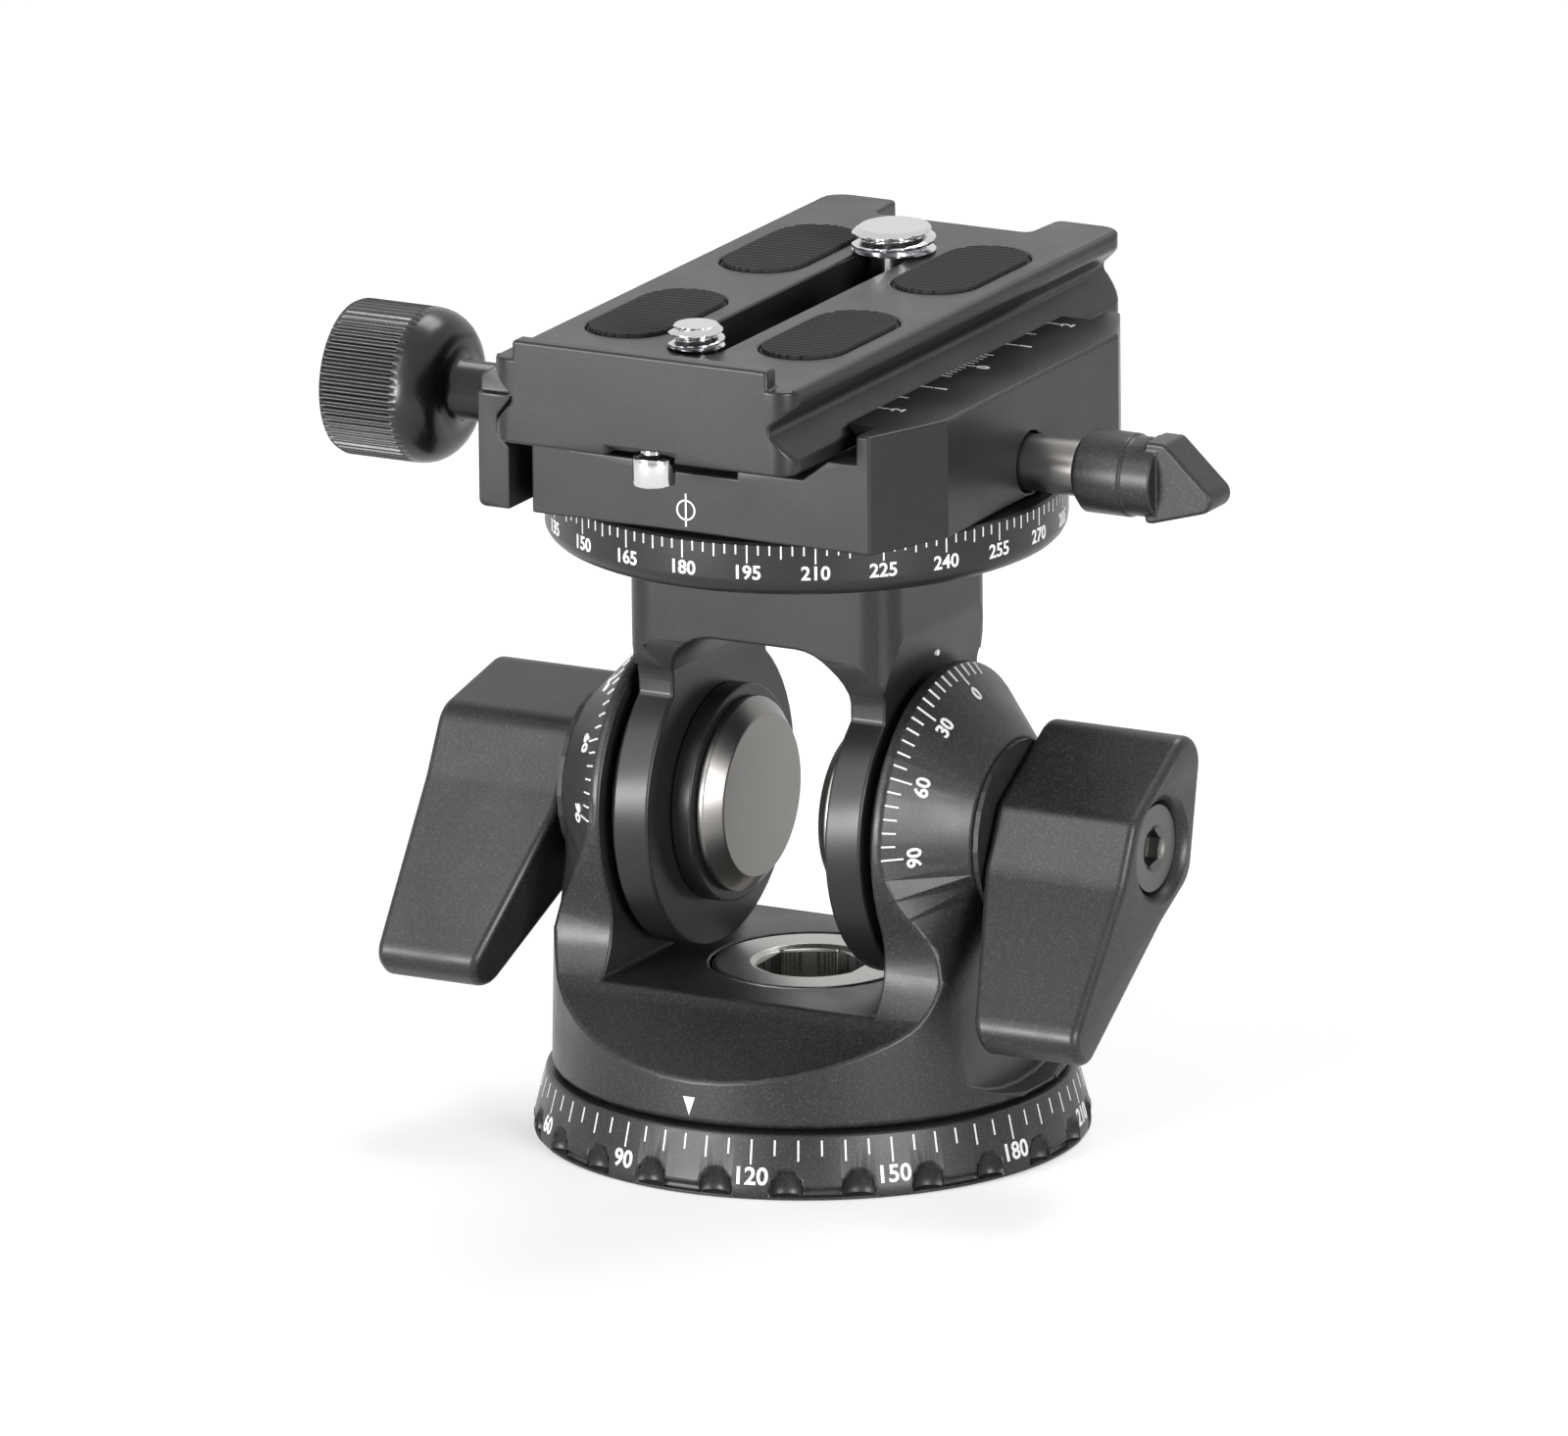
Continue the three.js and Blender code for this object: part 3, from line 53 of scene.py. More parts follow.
# Points nearer than this are one, in metres.
WELD = 1e-6
# A point that an edge round moves off the old surface by more than this share of its width is put back.
STRAY_SHARE = 0.6
# Faces of a copied solid that meet under this angle are one face.
FLAT_ANGLE = 0.4
# Edges of a copied casting sharper than this are rounded.
CAST_ANGLE = 40
# A round end keeps this share of its radius, so that its two arcs don't meet in one point.
NEARLY_ROUND = 0.999
# Distance between the rings of the wave texture at scale 1.
WAVE_PITCH = math.pi / 10
# Where the tilt axis crosses the pan axis.
TILT_CENTRE = (0, 0, 37.5)
# The front's direction about the pan axis, from +X.
FRONT = -90
FINE_SIDES = 192
ROUND_SIDES = 96
SMALL_SIDES = 48
HEX_SIDES = 6

Mesh = bpy.types.Object
Point = tuple[float, float]


class Axis(Enum):
    """The direction in which a turned piece's own +Z points once it is in place."""

    UP = "up"
    RIGHT = "right"
    LEFT = "left"

    def basis(self) -> Matrix:
        """Gives the turn that takes +Z to this direction.

        Returns:
            The turn.
        """
        if self is Axis.RIGHT:
            return Matrix(((0, 0, 1), (0, -1, 0), (1, 0, 0))).to_4x4()
        if self is Axis.LEFT:
            return Matrix(((0, 0, -1), (0, 1, 0), (1, 0, 0))).to_4x4()
        return Matrix.Identity(4)


class Grain(Enum):
    """How the fine texture of a finish runs."""

    SPECKLED = "speckled"
    LENGTHWISE = "lengthwise"
    RINGS = "rings"


class Boolean(Enum):
    """What is done with the second solid."""

    CUT = "DIFFERENCE"
    JOIN = "UNION"
    KEEP = "INTERSECT"


# Finishes


class NodeBench:
    """Builds the node tree of a material or of the world."""

    def __init__(self, owner: bpy.types.Material | bpy.types.World) -> None:
        """Empties the owner's node tree.

        Args:
            owner: What the nodes belong to.
        """
        owner.use_nodes = True
        self.tree = owner.node_tree
        self.tree.nodes.clear()

    def add(self, kind: str, settings: dict | None = None, **sockets: object) -> bpy.types.Node:
        """Adds a node.

        Args:
            kind: The node's type.
            settings: Properties of the node itself.
            sockets: Input sockets by name, underscores for spaces: a value, or a socket to link.

        Returns:
            The new node.
        """
        node = self.tree.nodes.new(kind)
        for key, value in (settings or {}).items():
            setattr(node, key, value)
        for key, value in sockets.items():
            socket = node.inputs[key.replace("_", " ")]
            if isinstance(value, bpy.types.NodeSocket):
                self.tree.links.new(value, socket)
            else:
                socket.default_value = value
        return node

    def place(self, centre: Sequence[float] = (0, 0, 0),
              scale: Sequence[float] = (1, 1, 1)) -> bpy.types.NodeSocket:
        """Gives the object's own coordinates, moved and stretched.

        Args:
            centre: The pattern's centre, in mm.
            scale: How much the pattern is squeezed along each axis.

        Returns:
            The coordinates' socket.
        """
        source = self.add("ShaderNodeTexCoord").outputs["Object"]
        shift = [-c * MM * s for c, s in zip(centre, scale)]
        return self.add("ShaderNodeMapping", Vector=source, Location=shift, Scale=scale).outputs["Vector"]

    def noise(self, vector: bpy.types.NodeSocket, cell: float, detail: float = 2) -> bpy.types.NodeSocket:
        """Gives a noise value.

        Args:
            vector: The coordinates.
            cell: The size of its grains, in mm.
            detail: How many finer layers it has.

        Returns:
            The value's socket, from 0 to 1.
        """
        noise = self.add("ShaderNodeTexNoise", Vector=vector, Scale=1 / (cell * MM), Detail=detail)
        return noise.outputs["Fac"]

    def spread(self, value: bpy.types.NodeSocket, low: float, high: float, start: float = 0.3,
               end: float = 0.7) -> bpy.types.NodeSocket:
        """Maps a value from start..end to low..high.

        Args:
            value: The value's socket.
            low: The result at start.
            high: The result at end.
            start: The value that gives low.
            end: The value that gives high.

        Returns:
            The result's socket.
        """
        limits = {"From_Min": start, "From_Max": end, "To_Min": low, "To_Max": high}
        return self.add("ShaderNodeMapRange", Value=value, **limits).outputs["Result"]

    def tint(self, share: bpy.types.NodeSocket, one: Sequence[float],
             other: Sequence[float]) -> bpy.types.NodeSocket:
        """Mixes two colours.

        Args:
            share: How much of the other colour.
            one: The first colour.
            other: The second colour.

        Returns:
            The colour's socket.
        """
        mix = self.add("ShaderNodeMix", {"data_type": "RGBA"}, Factor=share, A=(*one, 1), B=(*other, 1))
        return mix.outputs["Result"]

    def bump(self, height: bpy.types.NodeSocket, depth: float, strength: float = 1,
             under: bpy.types.NodeSocket | None = None) -> bpy.types.NodeSocket:
        """Gives a normal that follows a height.

        Args:
            height: The height's socket, from 0 to 1.
            depth: What a height of 1 stands for, in mm.
            strength: How much of it shows.
            under: The normal of a coarser relief below it.

        Returns:
            The normal's socket.
        """
        node = self.add("ShaderNodeBump", Height=height, Distance=depth * MM, Strength=strength)
        if under is not None:
            self.tree.links.new(under, node.inputs["Normal"])
        return node.outputs["Normal"]

    def finish(self, shader: bpy.types.Node, output: str = "ShaderNodeOutputMaterial") -> None:
        """Links the surface shader to a new output node, here named by its type."""
        self.add(output, Surface=shader.outputs[0])


@dataclass(frozen=True)
class Finish:
    """One real surface finish.

    Attributes:
        name: The material's name.
        slot: The record's material slot; not used.
        colour: Base colour, linear.
        metallic: Share of bare metal.
        roughness: Mean roughness.
        specular: Strength of the plain reflection.
    """

    name: str
    slot: str
    colour: tuple[float, float, float]
    metallic: float
    roughness: float
    specular: float = 0.5

    def shader(self, bench: NodeBench, **sockets: object) -> bpy.types.Node:
        """Adds the surface shader with this finish's even values.

        Args:
            bench: Where the nodes go.
            sockets: The values that vary over the surface.

        Returns:
            The shader node.
        """
        values = {"Base_Color": (*self.colour, 1), "Roughness": self.roughness}
        values.update(sockets)
        return bench.add("ShaderNodeBsdfPrincipled", None, Metallic=self.metallic,
                         Specular_IOR_Level=self.specular, **values)

    def build(self, bench: NodeBench) -> bpy.types.Node:
        """Adds all nodes of the finish; each finish has its own."""
        return self.shader(bench)

    def material(self) -> bpy.types.Material:
        """Gives the finish's material, which is made once.

        Returns:
            The material.
        """
        known = bpy.data.materials.get(self.name)
        if known is not None:
            return known
        material = bpy.data.materials.new(self.name)
        bench = NodeBench(material)
        bench.finish(self.build(bench))
        return material

    def dress(self, piece: Mesh) -> Mesh:
        """Puts the finish on a new piece.

        Args:
            piece: The piece.

        Returns:
            The same piece.
        """
        piece.data.materials.clear()
        piece.data.materials.append(self.material())
        return piece

    def dress_nodes(self, names: Iterable[str]) -> None:
        """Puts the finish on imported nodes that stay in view.

        Args:
            names: The nodes' names.
        """
        for name in names:
            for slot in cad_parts[name].material_slots:
                slot.material = self.material()
            log.info("%s wears %s", name, self.name)


@dataclass(frozen=True)
class Anodised(Finish):
    """Black anodised aluminium over a blasted or a smooth ground.

    Attributes:
        cell: Size of the blasted grains, in mm.
        relief: Height of the grains, in mm.
        painted_glint: How much lighter the brightest grains are painted: a painted glint that stands in for
            light sparkling on the grains.
        dark_share: Share of the grains that get no painted glint.
        painted_glint_colour: The base colour of the brightest grains, a painted glint rather than a real
            tone of the grains.
        haze: How far roughness wanders.
        patch: Size of the patches in which it wanders, in mm.
    """

    cell: float = 0.16
    relief: float = 0.012
    painted_glint: float = 0.5
    dark_share: float = 0.72
    painted_glint_colour: tuple[float, float, float] = (0.12, 0.12, 0.125)
    haze: float = 0.06
    patch: float = 9

    def build(self, bench: NodeBench) -> bpy.types.Node:
        """Adds grain relief, painted glints on some grains and an uneven gloss.

        Args:
            bench: Where the nodes go.

        Returns:
            The shader node.
        """
        here = bench.place()
        grains = bench.noise(here, self.cell, detail=3)
        # Painted glints: a random share of the grains gets a lighter base colour, standing in for light
        # sparkling on the blasted grains.
        cells = bench.add("ShaderNodeTexVoronoi", {"feature": "F1"}, Vector=here, Scale=1 / (self.cell * MM))
        facets = bench.add("ShaderNodeSeparateColor", Color=cells.outputs["Color"]).outputs["Red"]
        painted_glints = bench.spread(facets, 0, self.painted_glint, self.dark_share, 1)
        cloud = bench.noise(here, self.patch, detail=3)
        gloss = bench.spread(cloud, self.roughness - self.haze, self.roughness + self.haze)
        return self.shader(
            bench,
            Base_Color=bench.tint(painted_glints, self.colour, self.painted_glint_colour),
            Roughness=gloss,
            Normal=bench.bump(grains, self.relief),
        )


@dataclass(frozen=True)
class BareMetal(Finish):
    """Bare or plated metal with brushed, turned or speckled traces.

    Attributes:
        grain: How the traces run.
        pitch: Distance between traces, in mm.
        relief: Depth of the traces, in mm.
        squeeze: How much lengthwise traces are drawn out along Z.
        waver: How far rings waver.
        swing: Share by which the traces change the roughness.
        stain: How far the colour wanders.
        patch: Size of the patches in which it wanders, in mm.
    """

    grain: Grain = Grain.SPECKLED
    pitch: float = 0.2
    relief: float = 0.003
    squeeze: float = 0.03
    waver: float = 1.4
    swing: float = 0.25
    stain: float = 0.12
    patch: float = 4

    def build(self, bench: NodeBench) -> bpy.types.Node:
        """Adds the traces, faint stains and an uneven gloss.

        Args:
            bench: Where the nodes go.

        Returns:
            The shader node.
        """
        here = bench.place(scale=(1, 1, self.squeeze if self.grain is Grain.LENGTHWISE else 1))
        if self.grain is Grain.RINGS:
            rings = bench.add(
                "ShaderNodeTexWave",
                {"wave_type": "RINGS", "rings_direction": "Z"},
                Vector=here,
                Scale=WAVE_PITCH / (self.pitch * MM),
                Distortion=self.waver,
                Detail=3,
                Detail_Scale=2,
            )
            traces = rings.outputs["Fac"]
        else:
            traces = bench.noise(here, self.pitch, detail=4)
        cloud = bench.noise(bench.place(), self.patch, detail=4)
        darker = tuple(c * (1 - self.stain) for c in self.colour)
        low, high = self.roughness * (1 - self.swing), self.roughness * (1 + self.swing)
        return self.shader(
            bench,
            Base_Color=bench.tint(cloud, darker, self.colour),
            Roughness=bench.spread(traces, low, high, 0, 1),
            Normal=bench.bump(traces, self.relief),
        )


@dataclass(frozen=True)
class Moulded(Finish):
    """Rubber, plastic or laser-marked white: one colour with a fine tooth.

    Attributes:
        cell: Size of the tooth, in mm.
        relief: Height of the tooth, in mm.
        fade: How far the colour wanders.
        swing: Share by which the roughness wanders.
        patch: Size of the patches in which both wander, in mm.
    """

    cell: float = 0.12
    relief: float = 0.01
    fade: float = 0.2
    swing: float = 0.1
    patch: float = 1.2

    def build(self, bench: NodeBench) -> bpy.types.Node:
        """Adds the tooth and a faint mottle.

        Args:
            bench: Where the nodes go.

        Returns:
            The shader node.
        """
        here = bench.place()
        tooth = bench.noise(here, self.cell, detail=3)
        mottle = bench.noise(here, self.patch, detail=3)
        darker = tuple(c * (1 - self.fade) for c in self.colour)
        low, high = self.roughness * (1 - self.swing), self.roughness * (1 + self.swing)
        return self.shader(
            bench,
            Base_Color=bench.tint(mottle, darker, self.colour),
            Roughness=bench.spread(mottle, low, high),
            Normal=bench.bump(tooth, self.relief),
        )


# The black finishes below carry painted glints: random grains with a lighter base colour stand in for light
# sparkling on the grains.
BLASTED = Anodised("blasted_black", "black_blasted", (0.011, 0.011, 0.0118), 0, 0.38, 0.38, cell=0.14,
                   relief=0.008, painted_glint=0.4, painted_glint_colour=(0.07, 0.07, 0.074))
SATIN = Anodised("satin_black", "black_anodised", (0.01, 0.01, 0.0107), 0, 0.34, 0.34, cell=0.09,
                 relief=0.004, painted_glint=0.2, painted_glint_colour=(0.06, 0.06, 0.063), haze=0.04)
KNOB_SATIN = Anodised("knob_black", "black_blasted", (0.004, 0.004, 0.0045), 0, 0.27, 0.46, cell=0.09,
                      relief=0.003, painted_glint=0.1, haze=0.04)
BRUSHED_STEEL = BareMetal("brushed_steel", "steel", (0.24, 0.232, 0.222), 1, 0.34, grain=Grain.LENGTHWISE,
                          pitch=0.1, relief=0.0025)
TURNED_STEEL = BareMetal("turned_steel", "steel", (0.4, 0.39, 0.375), 1, 0.3, grain=Grain.RINGS, pitch=0.16)
PLAIN_STEEL = BareMetal("plain_steel", "steel", (0.42, 0.41, 0.4), 1, 0.32, pitch=0.12)
DULL_STEEL = BareMetal("dull_steel", "steel", (0.13, 0.127, 0.122), 1, 0.36, pitch=0.12)
CHROME = BareMetal("bright_plating", "chrome", (0.62, 0.62, 0.635), 1, 0.12, pitch=0.25, relief=0.0015,
                   stain=0.06)
RUBBER = Moulded("pad_rubber", "pad_rubber", (0.014, 0.014, 0.0148), 0, 0.5, 0.5)
POLYMER = Moulded("sliding_plastic", "low_friction", (0.014, 0.014, 0.015), 0, 0.5, 0.4)
MARK_WHITE = Moulded("mark_white", "black_anodised", (0.72, 0.72, 0.72), 0, 0.55, 0.4, cell=0.08,
                     relief=0.004, fade=0.12)


# Modelling steps


def drop_selection() -> None:
    """Deselects everything, in object mode."""
    if bpy.context.object is not None and bpy.context.object.mode != "OBJECT":
        bpy.ops.object.mode_set(mode="OBJECT")
    bpy.ops.object.select_all(action="DESELECT")


def pick(*pieces: Mesh) -> Mesh:
    """Selects pieces and makes the first one active.

    Args:
        pieces: The pieces.

    Returns:
        The first piece.
    """
    drop_selection()
    for piece in pieces:
        piece.select_set(True)
    bpy.context.view_layer.objects.active = pieces[0]
    return pieces[0]


def edit_all(piece: Mesh, kind: str = "VERT") -> None:
    """Opens a piece in edit mode with all of it selected.

    Args:
        piece: The piece.
        kind: What is selected: VERT, EDGE or FACE.
    """
    pick(piece)
    bpy.ops.object.mode_set(mode="EDIT")
    bpy.ops.mesh.select_mode(type=kind)
    bpy.ops.mesh.select_all(action="SELECT")


def close_edit() -> None:
    """Merges doubles, turns the faces outwards and leaves edit mode."""
    bpy.ops.mesh.select_all(action="SELECT")
    bpy.ops.mesh.remove_doubles(threshold=WELD)
    bpy.ops.mesh.normals_make_consistent(inside=False)
    bpy.ops.object.mode_set(mode="OBJECT")


def turned(name: str, stations: Sequence[Point], sides: int = ROUND_SIDES, hollow: bool = False) -> Mesh:
    """Turns a profile about +Z: a circle is extruded and scaled from station to station.

    Args:
        name: The piece's name.
        stations: Radius and height of each step, in mm. The first and last radius aren't zero.
        sides: How many sides the circle has.
        hollow: Whether the last station runs back into the first; otherwise the ends are filled.

    Returns:
        The piece.
    """
    drop_selection()
    radius, height = stations[0]
    bpy.ops.mesh.primitive_circle_add(vertices=sides, radius=radius * MM, location=(0, 0, height * MM))
    piece = bpy.context.object
    piece.name = name
    bpy.ops.object.transform_apply(location=True, rotation=True, scale=True)
    edit_all(piece, "EDGE")
    for next_radius, next_height in [*stations[1:], *(stations[:1] if hollow else [])]:
        rise = (0, 0, (next_height - height) * MM)
        bpy.ops.mesh.extrude_region_move(TRANSFORM_OT_translate={"value": rise})
        growth = next_radius / radius
        bpy.ops.transform.resize(value=(growth, growth, 1), center_override=(0, 0, next_height * MM))
        radius, height = next_radius, next_height
    if not hollow:
        bpy.ops.mesh.select_all(action="SELECT")
        bpy.ops.mesh.fill_holes(sides=0)
    close_edit()
    return piece


def prism(name: str, outline: Sequence[Point], low: float, high: float) -> Mesh:
    """Extrudes an outline in X and Y along +Z: a filled circle is drawn out to the outline first.

    Args:
        name: The piece's name.
        outline: The corners, in mm.
        low: Height of its foot.
        high: Height of its top.

    Returns:
        The piece.
    """
    drop_selection()
    bpy.ops.mesh.primitive_circle_add(vertices=len(outline), radius=MM, fill_type="NGON")
    piece = bpy.context.object
    piece.name = name
    for vertex, (x, y) in zip(piece.data.vertices, outline):
        vertex.co = (x * MM, y * MM, low * MM)
    edit_all(piece, "FACE")
    bpy.ops.mesh.extrude_region_move(TRANSFORM_OT_translate={"value": (0, 0, (high - low) * MM)})
    close_edit()
    return piece


def rounded(corners: Sequence[tuple[float, ...]], step: float = 9) -> list[Point]:
    """Draws an outline with rounded corners.

    Args:
        corners: Points (x, y), or (x, y, radius) where the corner is rounded, in mm.
        step: Degrees between the points of an arc.

    Returns:
        The outline's points.
    """
    path: list[Point] = []
    count = len(corners)
    for i, (x, y, *rest) in enumerate(corners):
        here = Vector((x, y))
        if not rest:
            path.append((x, y))
            continue
        back = (Vector(corners[i - 1][:2]) - here).normalized()
        ahead = (Vector(corners[(i + 1) % count][:2]) - here).normalized()
        half = back.angle(ahead) / 2
        centre = here + (back + ahead).normalized() * (rest[0] / math.sin(half))
        first = here + back * (rest[0] / math.tan(half)) - centre
        last = here + ahead * (rest[0] / math.tan(half)) - centre
        sweep = math.atan2(first.x * last.y - first.y * last.x, first.dot(last))
        steps = max(2, math.ceil(abs(math.degrees(sweep)) / step))
        for k in range(steps + 1):
            turn = Matrix.Rotation(sweep * k / steps, 2)
            path.append(tuple(centre + turn @ first))
    return path


def stadium(half_width: float, half_length: float) -> list[Point]:
    """Draws a slot shape along Y with round ends.

    Args:
        half_width: Half its width, in mm.
        half_length: Half its length, in mm.

    Returns:
        The outline's points.
    """
    near = half_width * NEARLY_ROUND
    return rounded([(half_width, -half_length, near), (half_width, half_length, near),
                    (-half_width, half_length, near), (-half_width, -half_length, near)])


def put(piece: Mesh, place: Matrix) -> Mesh:
    """Moves a piece and applies its place to its mesh.

    Args:
        piece: The piece.
        place: Where it goes, in metres.

    Returns:
        The same piece.
    """
    pick(piece)
    piece.matrix_world = place
    bpy.ops.object.transform_apply(location=True, rotation=True, scale=True)
    return piece


def at(x: float, y: float, z: float, axis: Axis = Axis.UP) -> Matrix:
    """Returns the place at a point in mm, with +Z turned to an axis."""
    return Matrix.Translation(Vector((x, y, z)) * MM) @ axis.basis()


def spare(piece: Mesh, name: str) -> Mesh:
    """Copies a piece that repeats, with its own mesh.

    Args:
        piece: The piece.
        name: The copy's name.

    Returns:
        The copy.
    """
    twin = bpy.data.objects.new(name, piece.data.copy())
    bpy.context.scene.collection.objects.link(twin)
    return twin


def clear_away(*pieces: Mesh) -> None:
    """Removes pieces that only served as patterns."""
    for piece in pieces:
        bpy.data.objects.remove(piece)


def hex_socket(across: float, low: float, high: float) -> Mesh:
    """Makes the cutter of a hexagon socket on +Z.

    Args:
        across: Distance across its flats, in mm.
        low: Height of its floor.
        high: Height of its top.

    Returns:
        The cutter.
    """
    corner = across / 2 / math.cos(math.pi / HEX_SIDES)
    return turned("socket", [(corner, low), (corner, high)], HEX_SIDES)


def combine(piece: Mesh, how: Boolean, *tools: Mesh) -> Mesh:
    """Cuts, joins or intersects a piece with tools, which are used up.

    Args:
        piece: The piece.
        how: What is done.
        tools: The other solids.

    Returns:
        The same piece.
    """
    for tool in tools:
        pick(piece)
        step = piece.modifiers.new("combine", "BOOLEAN")
        step.operation = how.value
        step.solver = "EXACT"
        step.object = tool
        bpy.ops.object.modifier_apply(modifier=step.name)
        clear_away(tool)
    return piece


def join(name: str, pieces: Sequence[Mesh]) -> Mesh:
    """Puts several meshes into one piece.

    Args:
        name: The new piece's name.
        pieces: The meshes.

    Returns:
        The piece.
    """
    first = pick(*pieces)
    if len(pieces) > 1:
        bpy.ops.object.join()
    first.name = name
    return first


def split_faces(piece: Mesh) -> Mesh:
    """Splits large faces into even triangles, so that the edges round cleanly.

    Args:
        piece: The piece.

    Returns:
        The same piece.
    """
    edit_all(piece)
    bpy.ops.mesh.quads_convert_to_tris(ngon_method="BEAUTY")
    bpy.ops.object.mode_set(mode="OBJECT")
    return piece


def flat_faces(piece: Mesh) -> Mesh:
    """Merges doubles, makes each flat face one and splits it evenly.

    Args:
        piece: The piece.

    Returns:
        The same piece.
    """
    edit_all(piece)
    bpy.ops.mesh.remove_doubles(threshold=WELD)
    bpy.ops.mesh.select_all(action="SELECT")
    bpy.ops.mesh.dissolve_limited(angle_limit=math.radians(FLAT_ANGLE))
    bpy.ops.object.mode_set(mode="OBJECT")
    return split_faces(piece)


def soften(piece: Mesh, width: float, segments: int = 3, angle: float = 32, smooth: float = 38) -> Mesh:
    """Rounds the sharp edges and smooths the rest.

    Args:
        piece: The piece.
        width: Size of the edge round, in mm.
        segments: Faces across the round.
        angle: Edges sharper than this, in degrees, are rounded.
        smooth: Faces that meet under this angle are shaded as one.

    Returns:
        The same piece.
    """
    pick(piece)
    if width > 0:
        corners = [vertex.co for vertex in piece.data.vertices]
        sharp = BVHTree.FromPolygons(corners, [face.vertices for face in piece.data.polygons])
        step = piece.modifiers.new("edges", "BEVEL")
        step.width = width * MM
        step.segments = segments
        step.limit_method = "ANGLE"
        step.angle_limit = math.radians(angle)
        step.use_clamp_overlap = False
        step.loop_slide = False
        bpy.ops.object.modifier_apply(modifier=step.name)
        for vertex in piece.data.vertices:
            nearest, _, _, gap = sharp.find_nearest(vertex.co)
            if gap > STRAY_SHARE * width * MM:
                vertex.co = nearest
    bpy.ops.object.shade_smooth_by_angle(angle=math.radians(smooth))
    even = piece.modifiers.new("even", "WEIGHTED_NORMAL")
    even.keep_sharp = True
    bpy.ops.object.modifier_apply(modifier=even.name)
    return piece


def copy_of(node: str, name: str) -> Mesh:
    """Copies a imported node's mesh, merged and with its flat faces split evenly.

    Args:
        node: The node.
        name: The new piece's name.

    Returns:
        The piece.
    """
    piece = pick(spare(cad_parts[node], name))
    bpy.ops.mesh.customdata_custom_splitnormals_clear()
    return flat_faces(piece)


def seat(piece: Mesh, body: str, finish: Finish, *nodes: str) -> Mesh:
    """Finishes a piece: material, the body that it rides on and the nodes that it stands for.

    Args:
        piece: The piece.
        body: The body.
        finish: Its finish.
        nodes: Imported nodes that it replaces.

    Returns:
        The same piece.
    """
    finish.dress(piece)
    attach(piece, body)
    if nodes:
        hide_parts(*nodes)
    log.info("%s rides on %s", piece.name, body)
    return piece


# Printed marks


@dataclass(frozen=True)
class RoundWall:
    """A wall of revolution that carries a scale.

    Attributes:
        axis: The wall's frame: its +Z is the axis of revolution.
        radius: Radius where marks have height zero, in mm.
        level: Height along the axis there, in mm.
        lean: Direction of up on the wall, as radius and height.
        sense: 1 or -1, so that the wall's outside is sense times lean turned a quarter.
    """

    axis: Matrix
    radius: float
    level: float
    lean: Point = (0, 1)
    sense: int = 1

    def point(self, station: float, along: float, up: float, out: float) -> Vector:
        """Gives a place on the wall.

        Args:
            station: Angle of the mark's middle, in degrees.
            along: Distance from its middle in reading direction.
            up: Distance up the wall.
            out: Distance off the wall.

        Returns:
            The place, in metres.
        """
        size = math.hypot(*self.lean)
        run, rise = self.lean[0] / size, self.lean[1] / size
        radius = self.radius + up * run + out * self.sense * rise
        height = self.level + up * rise - out * self.sense * run
        angle = math.radians(station) + self.sense * along / radius
        return self.axis @ (Vector((radius * math.cos(angle), radius * math.sin(angle), height)) * MM)


@dataclass(frozen=True)
class FlatWall:
    """A flat face that carries marks.

    Attributes:
        corner: The point that marks are measured from, in mm.
        reading: Unit direction in which text reads.
        rising: Unit direction of up in the text.
    """

    corner: tuple[float, float, float]
    reading: tuple[float, float, float]
    rising: tuple[float, float, float]

    def point(self, station: float, along: float, up: float, out: float) -> Vector:
        """Gives a place on the face.

        Args:
            station: Distance of the mark's middle in reading direction.
            along: Further distance in reading direction.
            up: Distance up the face.
            out: Distance off the face.

        Returns:
            The place, in metres.
        """
        reading, rising = Vector(self.reading), Vector(self.rising)
        place = Vector(self.corner) + reading * (station + along) + rising * up + reading.cross(rising) * out
        return place * MM


